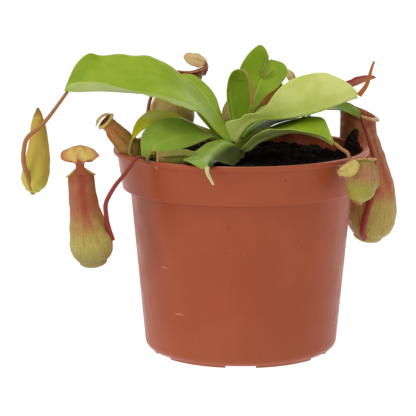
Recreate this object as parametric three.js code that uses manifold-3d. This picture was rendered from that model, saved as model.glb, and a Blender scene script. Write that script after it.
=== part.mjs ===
// A young tropical pitcher plant in a 12 cm plastic nursery pot.
// Millimetres, +Z up. The origin is on the pot's axis, on the surface the pot stands on.
// +X is to the right and +Y is away from the viewer when the plant is seen from its front.
import * as THREE from 'three';
import { mergeVertices } from 'three/addons/utils/BufferGeometryUtils.js';
import Module from 'manifold-3d';

const wasm = await Module();
wasm.setup();

// ---------------------------------------------------------------- driving dimensions
const POT = {
  height: 96,
  wall: 1.3,
  floor: 1.5,
  footLift: 1.2, // how far the floor's underside stands above the surface
  footInner: 37,
  footOuter: 42.5,
  footGaps: 6,
  footGapWidth: 14,
  padRadius: 12, // the flat disc in the middle of the underside
  baseRadius: 45.3,
  baseRounding: 3,
  bodyTopRadius: 52.1,
  collarBottom: 77.5,
  seam: 76.9, // where the collar is parted from the body
  collarBottomRadius: 55.6,
  collarTopRadius: 58.2,
  lipRadius: 60,
  lipHeight: 2,
  drainHoles: 6,
  drainHoleRadius: 3.5,
  drainCircle: 25,
  sides: 40,
};
const SOIL = {
  level: 90,
  relief: 1.1,
  sides: 28,
  rings: 6,
  mound: { x: 52, y: 3, height: 8, spread: 6.5 }, // loose fibre heaped against the rim
  stemHole: { radius: 5, depth: 7, sides: 12 },
  fibres: { count: 18, length: 7, radius: 0.8, seed: 7 },
  wallGap: 0.4,
  footInset: 2.5, // how much narrower the soil is at the floor
  footRise: 5,
  shoulderInset: 0.3,
  rimInset: 1,
};
const STEM = { x: -2.5, y: -0.5, radius: 4.3, top: 101.5, depth: 6.4, sides: 10 };
const LEAF = { thickness: 0.8, along: 12, across: 6, belly: 0.12 };
const LID = { thickness: 0.7, along: 6, across: 4, belly: 0.12 };
const TENDRIL = { steps: 10, sides: 6 };
const PITCHER = {
  wall: 0.8, lip: 0.9, lipHeight: 0.8, rib: 0.2, wing: 1.3, wingAngle: 30, sides: 12,
};
const SEAT_GAP = 0.3; // clearance between pieces that touch

// Each leaf hangs on three lines from the stem to the tip: its midrib and its two edges.
const LEAVES = {
  leaf_left_long: {
    midrib: [[-3, -4, 99.5], [-8, -5, 103], [-13, -6, 108.5], [-18, -8, 113], [-24.5, -10, 117.5],
      [-34, -12, 121], [-42, -13, 123], [-52.5, -13, 124], [-65.5, -12, 124.5], [-76.5, -11, 124],
      [-82, -10, 124.5]],
    first: [[-4.5, -6, 99], [-8, -9, 101.5], [-13.5, -13, 107.5], [-19, -19, 115],
      [-24.5, -23, 117.5], [-33.5, -27, 121.5], [-41.5, -28, 124], [-51.5, -28, 127],
      [-64.5, -26, 129.5], [-75, -20, 129], [-81, -13, 126.5]],
    second: [[-6, 1, 103.5], [-9, 3, 108.5], [-14.5, 6, 114.5], [-19, 8, 119], [-24.5, 10, 125],
      [-33.5, 11, 133], [-44, 10, 138], [-56, 7, 139], [-65.5, 4, 139], [-71.5, 1, 140],
      [-77, -3, 135.5], [-80, -7, 129.5]],
  },
  leaf_left_front: {
    midrib: [[-4, -3, 99.5], [-5.5, -5, 100.5], [-12.5, -8, 103.5], [-18.5, -13, 104.5],
      [-28, -23, 105], [-33.5, -29, 104], [-38.5, -34.5, 102], [-42, -38.5, 98.5],
      [-44, -40.5, 95.5]],
    first: [[-4, -4.5, 98.5], [-6, -7, 99.5], [-12.5, -11, 102.5], [-18, -18, 101.5],
      [-22.5, -25, 100.5], [-27, -31, 100], [-32.5, -37, 99], [-38.5, -40.5, 98.5],
      [-42, -41.5, 96.5]],
    second: [[-5, -1.5, 100], [-7.5, -3, 101.5], [-14.5, -5, 103.5], [-18.5, -7, 105],
      [-23, -9, 108.5], [-27.5, -11, 111], [-32, -14, 112], [-37.5, -19, 111.5], [-42, -25, 110],
      [-45, -31, 107], [-45.5, -36, 103], [-45, -39, 99]],
  },
  leaf_left_back: {
    midrib: [[-6.5, -1, 99.5], [-13.5, 0, 101.5], [-19.5, 1, 104.5], [-26.5, 1, 108],
      [-34.5, -2, 110.5], [-42, -9, 111], [-47, -16, 107.5], [-50, -21.5, 103]],
    first: [[-7, -3, 99], [-13.5, -5, 100.5], [-20, -8, 102], [-27, -10, 104.5], [-35.5, -13, 107],
      [-41.5, -17, 108.5], [-45.5, -20, 107], [-49, -22, 104]],
    second: [[-7.5, 2, 100.5], [-14, 4, 103.5], [-20.5, 6, 106], [-27, 8, 109], [-32.5, 8, 111.5],
      [-38.5, 6, 113], [-43.5, 1, 113], [-47, -6, 111], [-49.5, -13, 108], [-50.5, -19, 104.5]],
  },
  leaf_back_left: {
    midrib: [[-6, 3, 100], [-9, 6, 107], [-12, 9, 111.5], [-16, 13, 117], [-20, 18, 121.5],
      [-25, 22, 125.5], [-29, 25, 127.5]],
    first: [[-8, 1.5, 99.5], [-14, 3, 103.5], [-19, 6, 109], [-22, 9, 113], [-26, 14, 118],
      [-29.5, 20, 122.5], [-30.5, 24, 126]],
    second: [[-4.5, 4, 101.5], [-8, 8.5, 107.5], [-10, 11, 112.5], [-12, 15, 117.5], [-16, 20, 122.5],
      [-22, 24, 127], [-27, 26, 128]],
  },
  leaf_centre_young: {
    midrib: [[-2, 1.5, 101.5], [-3.5, 3, 107.5], [-5, 5, 115], [-5.5, 7, 120.5], [-5, 8, 125.5],
      [-3.5, 8, 128.5], [0, 6, 131.5]],
    first: [[-3.5, -0.5, 101.5], [-5, -1, 108.5], [-6.5, 0, 118], [-7, 1, 123.5], [-6, 3, 128.5],
      [-4, 5, 131.5], [-1.5, 6, 132.5]],
    second: [[0, 4, 103], [2, 7.5, 109], [4, 9.5, 114.5], [4, 10, 119.5], [3.5, 9.5, 125],
      [2.5, 8, 129], [1, 6, 131.5]],
  },
  leaf_centre_broad: {
    midrib: [[-1.5, 2.5, 99.5], [0, 6, 101.5], [1.5, 9, 107], [4, 12, 112], [7, 17, 120],
      [10, 21, 127.5], [12, 23, 131.5], [13, 24.5, 134.5]],
    first: [[-3, 2.5, 99.5], [-2, 5, 101.5], [-1.5, 9, 109.5], [-2, 13, 117], [-2.5, 16.5, 125],
      [-0.5, 19, 132], [2.5, 21.5, 137], [6, 23, 140.5], [9, 24, 142], [11.5, 24.5, 140],
      [13, 24.5, 136.5]],
    second: [[0, 2, 100], [2, 7, 102.5], [5.5, 11, 111.5], [11, 13.5, 118], [15.5, 15.5, 121.5],
      [19.5, 18, 125], [22, 20.5, 128.5], [21.5, 22.5, 131.5], [19.5, 24, 133.5],
      [16, 24.5, 134.5], [14, 24.5, 135]],
  },
  leaf_right_long: {
    midrib: [[-2.5, -4, 99], [-1, -5.5, 102.5], [1, -6.5, 105.5], [4, -8, 109], [9.5, -9, 111],
      [19, -10, 111.5], [28.5, -11, 113], [37.5, -11, 115.5], [45.5, -11, 119], [53, -9, 122.5]],
    first: [[-4.5, -6, 100.5], [-6.5, -7, 105], [-7.5, -8, 108.5], [-5, -9, 110], [-1, -10, 111],
      [2, -12, 113.5], [8, -14.5, 114.5], [11.5, -16, 118], [16, -17, 124.5], [21.5, -18, 129.5],
      [29, -19, 132.5], [37.5, -19, 133.5], [44.5, -17, 131], [50, -13, 127.5],
      [53.5, -9.5, 123.5]],
    second: [[-1, -1.5, 100], [2.5, 0.5, 105], [7, 3, 108.5], [13.5, 7, 111], [21.5, 11, 113.5],
      [30, 13, 115], [38, 12, 116.5], [45.5, 7, 117], [50.5, 0, 118.5], [54, -7, 120.5]],
  },
  leaf_right_low: {
    midrib: [[-1.5, -2.5, 98.5], [1.5, 0, 101], [4, 2, 103.5], [8, 4, 106], [14.5, 7, 108.5],
      [23, 10, 110.5], [32.5, 12.5, 112], [41, 14.5, 113], [49, 17, 112.5], [53.5, 18.5, 112],
      [57, 19.5, 110]],
    first: [[-2.5, -4, 98], [2, -4, 100.5], [6, -5, 103.5], [11, -6, 105.5], [15.5, -6, 108],
      [21, -5.5, 109.5], [28, -3.5, 111.5], [34.5, 1, 113], [41.5, 7, 113], [48, 12, 112],
      [53, 15.5, 109.5], [56.5, 18, 107.5]],
    second: [[-0.5, 2, 99.5], [4.5, 7, 104.5], [10.5, 12, 108], [18.5, 17, 111], [28, 21, 113],
      [37.5, 23.5, 114.5], [46, 24.5, 115], [52, 24, 114], [56, 21.5, 111.5]],
  },
  leaf_front_small: {
    midrib: [[-2.5, -3.5, 96], [-2, -7, 97.5], [-6, -16, 100.5], [-10.5, -27, 100.5],
      [-14, -41, 99.5], [-15, -52, 98.8], [-15.3, -59, 97.8], [-15, -62.5, 95.8]],
    first: [[-4.5, -4, 97.5], [-7, -7, 101], [-13, -13, 101], [-18.5, -23, 99.5], [-24, -38, 97.5],
      [-26, -47, 97.5], [-23.5, -56, 98], [-17.5, -62, 95.8]],
    second: [[-0.5, -3.5, 94.5], [-0.5, -9, 96], [0, -18, 95], [-1.5, -32, 93.8], [-5, -45, 94.5],
      [-10.5, -56, 98], [-13.5, -62.5, 96]],
  },
  leaf_right_front: {
    midrib: [[-0.5, -6.5, 95], [4, -13, 97], [7.5, -18, 101], [12.5, -21.5, 104],
      [18, -24.5, 106.5], [26, -27, 107.5], [32, -29, 106.5], [38, -30, 104.5], [42, -30, 102]],
    first: [[-0.5, -9, 96], [1.5, -14, 99], [5.5, -22, 104.5], [11, -28, 108], [17.5, -33, 109.5],
      [26.5, -35, 109], [34.5, -34, 107.5], [40.5, -31.5, 104.5]],
    second: [[1, -4, 97.5], [7, -1, 102.5], [14.5, 1, 106], [24.5, 2.5, 109], [31.5, 2, 111],
      [36, -1, 111], [38.5, -6, 110], [40, -14, 108], [41, -22, 105.5], [42, -28, 103.5]],
  },
  leaf_back_right: {
    midrib: [[-0.5, 1.5, 97], [1.5, 5, 99], [6, 12, 103.5], [12, 22, 107], [19.5, 34, 108.5],
      [26.5, 44, 107], [32, 50, 104.5]],
    first: [[-1.5, 2.5, 97.5], [0, 6, 99], [2.5, 15, 103.5], [7, 27, 109.5], [13, 40, 111.5],
      [21, 50, 109.5], [28.5, 54, 106]],
    second: [[1, 1, 97.5], [2.5, 4, 99], [10, 8, 104], [18, 16, 107], [27, 28, 107.5],
      [33, 40, 106.5], [34, 47, 104.5]],
  },
};

// Each tendril runs from a leaf's tip to the foot of its pitcher: route, radius at each end.
const TENDRILS = {
  tendril_far_left: {
    route: [[-80.5, -9.5, 123.6], [-86, -13, 116], [-92, -19, 109], [-98, -22, 104], [-100, -22, 98],
      [-100, -21, 91], [-98.5, -18, 84], [-97.5, -15, 79], [-97, -12, 76.4]],
    radius: [0.9, 1.5],
  },
  tendril_left_front: {
    route: [[-43.8, -40.3, 97], [-47, -47.5, 98], [-51, -52, 93], [-56, -55, 87], [-60, -56, 80],
      [-60.5, -53, 73], [-59.5, -50, 67], [-58, -47, 61]],
    radius: [1.0, 1.5],
  },
  tendril_left_back: {
    route: [[-50, -21, 103], [-51, -23, 97.5], [-48.5, -23, 93.5], [-45.5, -19, 91.5], [-45, -14, 91.5]],
    radius: [0.8, 1.0],
  },
  tendril_back_left: {
    route: [[-29.5, 25.5, 126], [-36, 23, 124.5], [-42.5, 25, 118], [-45, 29, 109], [-44, 31, 100],
      [-39, 31, 93], [-33, 31, 91.5]],
    radius: [0.8, 1.2],
  },
  tendril_centre_young: {
    route: [[0.2, 6, 132], [2.2, 4, 130.5], [4.3, 3, 125], [5, 2.5, 120], [4.5, 2.5, 116]],
    radius: [0.6, 1.0],
  },
  tendril_centre_broad: {
    route: [[12, 23.5, 136], [11, 21.5, 132], [9.5, 20, 128.5], [12, 19.5, 128], [15, 20, 130]],
    radius: [0.6, 0.8],
  },
  tendril_right_long: {
    route: [[54.5, -9, 122], [57, -10, 126], [59, -11, 132], [61, -12, 138]],
    radius: [1.5, 0.6],
  },
  tendril_right_low: {
    route: [[56.3, 19.5, 109.5], [59.2, 20.3, 102], [62.2, 21, 92], [63.8, 21.5, 84], [64, 22, 73],
      [61, 22.5, 63], [58.8, 25.5, 52], [60, 31, 47]],
    radius: [0.8, 1.9],
  },
  tendril_front_small: {
    route: [[-15, -62, 96.3], [-14.8, -63.5, 94], [-12.2, -63, 88.8]],
    radius: [1.1, 0.5],
  },
  tendril_right_front: {
    route: [[42.5, -29.5, 102.5], [45.5, -34, 100.5], [48.5, -37.5, 98.5], [49.3, -37.8, 92],
      [49.3, -37.8, 85], [50.5, -40, 79], [54, -43.5, 77]],
    radius: [0.9, 1.1],
  },
  tendril_back_right: {
    route: [[31, 51, 104.5], [27, 53, 98], [16, 51, 93], [4, 46, 91.5], [-3, 40, 91.3]],
    radius: [0.8, 1.1],
  },
  tendril_old: {
    route: [[-4.5, -3, 94.5], [-12, -14, 93.4], [-16, -24, 93.6], [-18.5, -33, 95]],
    radius: [1.3, 1.2],
  },
};

// Each pitcher's axis from its foot to the middle of its mouth, its radius at even steps along
// it, the compass direction of its winged front, and how far its mouth is raised at the back.
const PITCHERS = {
  pitcher_far_left: {
    axis: [[-97, -12, 78.3], [-96, -12, 84], [-94.5, -12, 92.5], [-94, -12, 101], [-94.2, -12, 109],
      [-94.1, -12, 116.2]],
    radii: [3.8, 6.4, 5.8, 4.4, 3.3, 0.5],
    front: 200, closed: true,
  },
  pitcher_left_front: {
    axis: [[-66.8, -46, 51], [-67.5, -46, 58], [-68.8, -46, 66], [-70.5, -46, 75], [-71.5, -46, 83],
      [-72, -46, 89.5]],
    radii: [6.4, 9.7, 8.6, 6.9, 6.2, 5.9],
    front: 95, tilt: 12,
  },
  pitcher_left_rim: {
    axis: [[-46.5, -14, 91.5], [-49.5, -14, 95.5], [-53, -14, 100], [-57.5, -15, 105], [-62, -16, 110]],
    radii: [2, 5.2, 4.9, 3.9, 3.3],
    front: 235, tilt: 5,
  },
  pitcher_back_left: {
    axis: [[-31, 32, 92], [-33, 33.5, 100], [-33.5, 35, 107], [-31.5, 37, 114], [-28, 39, 120],
      [-25, 40, 126]],
    radii: [3, 9.5, 11, 9.5, 6.8, 5.8],
    front: 190, tilt: 15,
  },
  pitcher_back: {
    axis: [[-5, 38, 92], [-2.5, 39, 99], [0, 40, 106], [5, 41, 112], [12, 42, 117], [19, 42, 121]],
    radii: [2.5, 8, 9, 7, 5, 4.6],
    front: 170, tilt: 10,
  },
  pitcher_right_large: {
    axis: [[62, 36, 47.5], [63.5, 36, 57], [63, 36, 68], [60.5, 36, 81], [57.5, 36, 94], [56.5, 36, 107.5]],
    radii: [7.2, 12, 12, 10.4, 9.3, 8.4],
    front: 350, tilt: 25,
  },
  pitcher_right_squat: {
    axis: [[54, -44, 78.5], [54, -44, 83], [54.1, -44, 88], [54.4, -44, 92.5], [54.8, -43.5, 96.5]],
    radii: [2, 6.3, 7, 6, 4.7],
    front: 330, tilt: -10,
  },
  pitcher_old_lying: {
    axis: [[-19, -34.5, 95.2], [-23.5, -36, 95.5], [-29, -38, 95.8], [-34, -39.5, 96], [-38, -40.5, 96.3]],
    radii: [1.8, 4.6, 4.9, 4, 3.6],
    front: 280, tilt: 0,
  },
};

// Each lid is a small blade that grows from the back of a pitcher's mouth: its midrib, the
// compass direction of its second half, its greatest half-width, and how far the halves rise.
const LIDS = {
  lid_left_front: {
    midrib: [[-71.6, -52.3, 91.2], [-72, -52.5, 97], [-72.3, -49, 101], [-72.3, -44, 103.5]],
    facing: 0,
    width: 9, rise: [-8, -14, -12],
  },
  lid_left_rim: {
    midrib: [[-59.5, -13, 113.2], [-62.5, -14, 113.6], [-65.5, -16, 111.6], [-67, -18, 108.5]],
    facing: 100,
    width: 3, rise: [0, 0, 0],
  },
  lid_back_left: {
    midrib: [[-18.5, 41, 125.3], [-17, 41, 130.5], [-21.5, 41, 133.5], [-28, 40, 134.5]],
    facing: 90,
    width: 5.5, rise: [-8, -14, -12],
  },
  lid_back: {
    midrib: [[21.8, 42, 118.6], [26, 42, 122], [25, 42, 126.5], [20, 42, 128.5]],
    facing: 90,
    width: 4.5, rise: [-20, -30, -20],
  },
  lid_right_large: {
    midrib: [[48.8, 37.2, 111.5], [50.5, 36.5, 118.5], [56.5, 36, 121.8], [65, 36, 125]],
    facing: 90,
    width: 7, rise: [-25, -30, -20],
  },
  lid_right_squat: {
    midrib: [[51.5, -49, 97.5], [49.5, -50.5, 96.5], [46, -51.5, 94.5], [43, -51.5, 92.5]],
    facing: 90,
    width: 5, rise: [-80, -80, -80],
  },
  lid_old_lying: {
    midrib: [[-39, -41.2, 99.8], [-40.5, -42, 100.5], [-42, -42.5, 98.5], [-42.3, -42.5, 95.5]],
    facing: 280,
    width: 3, rise: [0, 0, 0],
  },
};

const COLOURS = {
  pot: 0xa2563e,
  soil: 0x241a14,
  stem: 0x7d8a3a,
  leaf_left_long: 0x8fbf3a,
  leaf_left_front: 0x7fae3c,
  leaf_left_back: 0x9aae2c,
  leaf_back_left: 0x86b23a,
  leaf_centre_young: 0x94b93c,
  leaf_centre_broad: 0x8fc143,
  leaf_right_long: 0xb4cc58,
  leaf_right_low: 0x86a344,
  leaf_front_small: 0x8caf3c,
  leaf_right_front: 0x9cb74a,
  leaf_back_right: 0x84ab3c,
  tendril_far_left: 0xb5543c,
  tendril_left_front: 0xb23a40,
  tendril_left_back: 0xa8a040,
  tendril_back_left: 0xa07a40,
  tendril_centre_young: 0xc9a860,
  tendril_centre_broad: 0xb08a4a,
  tendril_right_long: 0xb06a4c,
  tendril_right_low: 0x9c3c38,
  tendril_front_small: 0xcfbf60,
  tendril_right_front: 0xc08a50,
  tendril_back_right: 0xa07a40,
  tendril_old: 0x9a8a48,
  pitcher_far_left: 0xa8a032,
  pitcher_left_front: 0xb0783c,
  pitcher_left_rim: 0xb07a44,
  pitcher_back_left: 0xb4996a,
  pitcher_back: 0xb4996a,
  pitcher_right_large: 0xa85c44,
  pitcher_right_squat: 0xa89a54,
  pitcher_old_lying: 0xa4a468,
  lid_left_front: 0xb46a40,
  lid_left_rim: 0xb48a50,
  lid_back_left: 0xa84a38,
  lid_back: 0xa84a38,
  lid_right_large: 0xb8604c,
  lid_right_squat: 0xd0bc60,
  lid_old_lying: 0xb0a860,
};
const ROUGHNESS = { pot: 0.32, soil: 0.95, plant: 0.5 };

// ---------------------------------------------------------------- curves and numbers
const toVector = (p) => new THREE.Vector3(...p);
const smoothCurve = (points) => new THREE.CatmullRomCurve3(points.map(toVector), false, 'catmullrom', 0.5);
const radians = (degrees) => THREE.MathUtils.degToRad(degrees);
const onCompass = (degrees) => new THREE.Vector3(Math.cos(radians(degrees)), Math.sin(radians(degrees)), 0);

// A value that passes through start, middle and end as t goes from 0 to 1.
function throughThree([start, middle, end], t) {
  return start * (1 - t) * (1 - 2 * t) + middle * 4 * t * (1 - t) + end * t * (2 * t - 1);
}

// ---------------------------------------------------------------- closed surfaces
// A closed skin over rings of points that run one way round. A ring of one point is a pointed
// end; other ends are closed by a ladder of faces, so their rings hold an even number.
// From the point numbered turnedFrom on, each four-sided patch is split the other way.
function skinOver(rings, turnedFrom = Infinity) {
  const faces = [];
  const starts = [];
  let total = 0;
  for (const ring of rings) {
    starts.push(total);
    total += ring.length;
  }
  const numberOf = (i, j) => starts[i] + (rings[i].length > 1 ? j : 0);
  for (let i = 0; i + 1 < rings.length; i++) {
    const count = Math.max(rings[i].length, rings[i + 1].length);
    for (let j = 0; j < count; j++) {
      const k = (j + 1) % count;
      const [a, b, c, d] = [numberOf(i, j), numberOf(i, k), numberOf(i + 1, k), numberOf(i + 1, j)];
      const patch = j < turnedFrom ? [a, b, c, a, c, d] : [a, b, d, b, c, d];
      for (let n = 0; n < 6; n += 3) {
        const [p, q, r] = patch.slice(n, n + 3);
        if (p !== q && q !== r && r !== p) faces.push(p, q, r);
      }
    }
  }
  const close = (i, turned) => {
    const [start, count] = [starts[i], rings[i].length];
    for (let j = 0; j + 1 < count / 2; j++) {
      const [a, b, c, d] = [start + j, start + j + 1, start + count - 2 - j, start + count - 1 - j];
      const pair = [a, b, c, a, c, d];
      for (let n = 0; n < pair.length; n += 3) {
        faces.push(...(turned ? pair.slice(n, n + 3).reverse() : pair.slice(n, n + 3)));
      }
    }
  };
  if (rings[0].length > 1) close(0, true);
  if (rings.at(-1).length > 1) close(rings.length - 1, false);
  const geometry = new THREE.BufferGeometry().setFromPoints(rings.flat());
  geometry.setIndex(faces);
  return geometry;
}

// A thin leaf-like plate. middle(u, v) is its middle surface, u along it from 0 to 1 and v
// across it from -1 to 1. Both faces are split into the same triangles.
function plate(middle, thickness, along, across) {
  const step = 0.01;
  const rings = [];
  for (let i = 0; i <= along; i++) {
    const u = i / along;
    const upper = [];
    const lower = [];
    for (let j = 0; j <= across; j++) {
      const v = -1 + (2 * j) / across;
      const lengthways = middle(Math.min(1, u + step), v).sub(middle(Math.max(0, u - step), v));
      const sideways = middle(u, Math.min(1, v + step)).sub(middle(u, Math.max(-1, v - step)));
      const offset = sideways.cross(lengthways).setLength(thickness / 2);
      upper.push(middle(u, v).add(offset));
      lower.push(middle(u, v).sub(offset));
    }
    rings.push([...upper, ...lower.reverse()]);
  }
  return skinOver(rings, across + 1);
}

// A round rod along a smooth route; radiusAt(t) gives its radius from end to end.
function rod(route, radiusAt, steps, sides) {
  const curve = smoothCurve(route);
  const { normals, binormals } = curve.computeFrenetFrames(steps, false);
  const rings = normals.map((normal, i) => {
    const centre = curve.getPointAt(i / steps);
    const radius = radiusAt(i / steps);
    return Array.from({ length: sides }, (_, j) => {
      const angle = (2 * Math.PI * j) / sides;
      return centre.clone()
        .addScaledVector(normal, radius * Math.cos(angle))
        .addScaledVector(binormals[i], radius * Math.sin(angle));
    });
  });
  return skinOver(rings);
}

// A solid of revolution round Z, its closed profile grown outwards by spare.
function turned(profile, sides, spare = 0) {
  const grown = profile.map(([r, z], i) => {
    if (r === 0) return new THREE.Vector2(0, i === 0 ? z - spare : z + spare);
    const before = profile[(i + profile.length - 1) % profile.length];
    const after = profile[(i + 1) % profile.length];
    const [inTo, outOf] = [[r - before[0], z - before[1]], [after[0] - r, after[1] - z]]
      .map(([x, y]) => new THREE.Vector2(x, y).normalize());
    const outward = new THREE.Vector2(inTo.y + outOf.y, -inTo.x - outOf.x).normalize();
    return new THREE.Vector2(r, z).addScaledVector(outward, spare);
  });
  return new THREE.LatheGeometry(grown, sides).rotateX(Math.PI / 2);
}

// ---------------------------------------------------------------- solids that are cut or joined
function toSolid(geometry) {
  const bare = geometry.clone();
  bare.deleteAttribute('normal');
  bare.deleteAttribute('uv');
  const merged = mergeVertices(bare, 1e-4);
  const mesh = new wasm.Mesh({
    numProp: 3,
    vertProperties: merged.attributes.position.array,
    triVerts: new Uint32Array(merged.index.array),
  });
  return new wasm.Manifold(mesh);
}

function toGeometry(solid) {
  const { vertProperties, triVerts } = solid.getMesh();
  const geometry = new THREE.BufferGeometry();
  geometry.setAttribute('position', new THREE.Float32BufferAttribute([...vertProperties], 3));
  geometry.setIndex([...triVerts]);
  return geometry;
}

// The largest of the bodies that a cut leaves.
function largestBody(solid) {
  return solid.decompose().sort((a, b) => b.volume() - a.volume())[0];
}

// ---------------------------------------------------------------- leaves and lids
// The middle surface between three lines. Each half bellies a little. Spare is added all round.
function leafSurface(leaf, spare) {
  const [midrib, first, second] = [leaf.midrib, leaf.first, leaf.second].map(smoothCurve);
  const upwards = new THREE.Vector3(0, 0, 1);
  return (u, v) => {
    const share = Math.abs(v);
    const place = midrib.getPointAt(u);
    const toEdge = (v < 0 ? first : second).getPointAt(u).sub(place);
    const width = toEdge.length();
    const heading = midrib.getTangentAt(u);
    const normal = new THREE.Vector3().crossVectors(heading, toEdge).normalize();
    if (normal.dot(upwards) < 0) normal.negate();
    const sag = LEAF.belly * width * (share - share * share);
    return place.addScaledVector(toEdge, share * (1 + spare / width)).addScaledVector(normal, -sag)
      .addScaledVector(heading, spare * (2 * u - 1));
  };
}

// The middle surface of a lid: a short stalk that widens to a round blade.
function lidSurface(lid, spare) {
  const midrib = smoothCurve(lid.midrib);
  const outward = onCompass(lid.facing);
  return (u, v) => {
    const share = Math.abs(v);
    const place = midrib.getPointAt(u);
    const heading = midrib.getTangentAt(u);
    const across = outward.clone().addScaledVector(heading, -outward.dot(heading)).normalize();
    const above = new THREE.Vector3().crossVectors(across, heading).normalize();
    const fullness = Math.max(0, Math.sin(Math.PI * (0.08 + 0.9 * u))) ** 0.7;
    const width = Math.max(LID.thickness, lid.width * fullness) + spare;
    const rise = radians(throughThree(lid.rise, u)) * (1 - LID.thickness / width);
    return place.addScaledVector(across, v * width * Math.cos(rise))
      .addScaledVector(above, share * width * Math.sin(rise))
      .addScaledVector(heading, spare * (2 * u - 1));
  };
}

function leaf(spec, spare = 0) {
  return plate(leafSurface(spec, spare), LEAF.thickness + 2 * spare, LEAF.along, LEAF.across);
}

function lid(spec, spare = 0) {
  return plate(lidSurface(spec, spare), LID.thickness + 2 * spare, LID.along, LID.across);
}

// ---------------------------------------------------------------- tendrils
function tendril({ route, radius }, spare = 0) {
  const radiusAt = (t) => radius[0] + (radius[1] - radius[0]) * t + spare;
  return rod(route, radiusAt, TENDRIL.steps, TENDRIL.sides);
}

// ---------------------------------------------------------------- pitchers
// A pitcher is a cup round a bent axis. Two fringed wings run down its front, its mouth slants
// up to the back, and a ribbed lip rolls out round the mouth. A young one is still closed.
// With spare, it is the filled outline of the cup, grown by that much.
function pitcher(spec, spare = 0) {
  const axis = smoothCurve(spec.axis);
  const profile = smoothCurve(spec.radii.map((r, i) => [i / (spec.radii.length - 1), r, 0]));
  const ahead = onCompass(spec.front);
  const ring = (t, radius, { raise = 0, wing = 0, rib = 0 } = {}) => {
    const centre = axis.getPoint(t);
    const heading = axis.getTangent(t);
    const front = ahead.clone().addScaledVector(heading, -ahead.dot(heading)).normalize();
    const side = new THREE.Vector3().crossVectors(heading, front);
    const slope = Math.tan(radians(spec.tilt ?? 0)) * THREE.MathUtils.smoothstep(t, 0.5, 1);
    return Array.from({ length: PITCHER.sides }, (_, j) => {
      const turn = (360 * j) / PITCHER.sides;
      const winged = turn === PITCHER.wingAngle || turn === 360 - PITCHER.wingAngle;
      const reach = radius + (winged ? wing : 0) + (j % 2 ? rib : 0);
      return centre.clone()
        .addScaledVector(front, reach * Math.cos(radians(turn)))
        .addScaledVector(side, reach * Math.sin(radians(turn)))
        .addScaledVector(heading, raise - reach * Math.cos(radians(turn)) * slope);
    });
  };
  const radiusAt = (t) => profile.getPoint(t).y + spare;
  const foot = axis.getPoint(0).addScaledVector(axis.getTangent(0), -0.5 * spec.radii[0] - spare);
  const tip = axis.getPoint(1).addScaledVector(axis.getTangent(1), spare);
  const rings = [[foot], ring(0, radiusAt(0)), ring(0.08, radiusAt(0.08)), ring(0.2, radiusAt(0.2))];
  for (const [t, share] of [[0.34, 0.4], [0.48, 1], [0.62, 0.4], [0.75, 1], [0.88, 0.4]]) {
    rings.push(ring(t, radiusAt(t), { wing: share * PITCHER.wing }));
  }
  if (spec.closed) return skinOver([...rings, ring(0.96, radiusAt(0.96)), [tip]]);
  const mouth = radiusAt(1);
  const { lip, lipHeight, rib, wall } = PITCHER;
  rings.push(ring(0.97, mouth), ring(1, mouth + lip, { rib }));
  if (spare > 0) {
    rings.push(ring(1, mouth + lip, { rib, raise: lipHeight + spare }));
    return skinOver([...rings, [tip.addScaledVector(axis.getTangent(1), lipHeight)]]);
  }
  rings.push(ring(1, mouth, { raise: lipHeight, rib }), ring(0.99, mouth - wall));
  for (const t of [0.8, 0.55, 0.3, 0.12]) rings.push(ring(t, radiusAt(t) - wall));
  return skinOver([...rings, [axis.getPoint(0.04)]]);
}

// ---------------------------------------------------------------- pot
const lipBottom = POT.height - POT.lipHeight;
const floorTop = POT.footLift + POT.floor;

function pot(spare = 0) {
  const p = POT;
  const outside = [
    [0, 0], [p.padRadius, 0], [p.padRadius + 1, p.footLift],
    [p.footInner, p.footLift], [p.footInner + 0.5, 0], [p.footOuter - 0.5, 0], [p.footOuter, p.footLift],
    [p.baseRadius - 1, p.footLift + 1.2], [p.baseRadius, p.footLift + p.baseRounding],
    [p.bodyTopRadius, p.collarBottom],
    [p.collarBottomRadius - 0.6, p.collarBottom], [p.collarBottomRadius, p.collarBottom + 0.6],
    [p.collarTopRadius, lipBottom], [p.lipRadius, lipBottom + 0.3],
    [p.lipRadius, p.height - 0.6], [p.lipRadius - 0.6, p.height],
  ];
  const inside = [
    [p.collarTopRadius - p.wall + 0.5, p.height], [p.collarTopRadius - p.wall, lipBottom - 1],
    [p.collarBottomRadius - p.wall, p.collarBottom + p.wall],
    [p.bodyTopRadius - p.wall, p.collarBottom + p.wall],
    [p.baseRadius - p.wall, p.footLift + p.baseRounding],
    [p.baseRadius - p.wall - 2, floorTop], [0, floorTop],
  ];
  return toSolid(turned([...outside, ...inside], p.sides, spare));
}

// The ring of feet is notched, and water drains through round holes in the floor.
function notchedPot() {
  const p = POT;
  let solid = pot();
  const notchLength = 2 * (p.footOuter - p.footInner);
  for (let i = 0; i < p.footGaps; i++) {
    const turn = (2 * Math.PI * (i + 0.5)) / p.footGaps;
    const notch = new THREE.BoxGeometry(notchLength, p.footGapWidth, 2 * p.footLift)
      .translate((p.footInner + p.footOuter) / 2, 0, 0).rotateZ(turn);
    solid = solid.subtract(toSolid(notch));
  }
  for (let i = 0; i < p.drainHoles; i++) {
    const turn = (2 * Math.PI * i) / p.drainHoles;
    const hole = new THREE.CylinderGeometry(p.drainHoleRadius, p.drainHoleRadius, 4 * floorTop, 12)
      .rotateX(Math.PI / 2).translate(p.drainCircle, 0, 0).rotateZ(turn);
    solid = solid.subtract(toSolid(hole));
  }
  return solid;
}

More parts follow.
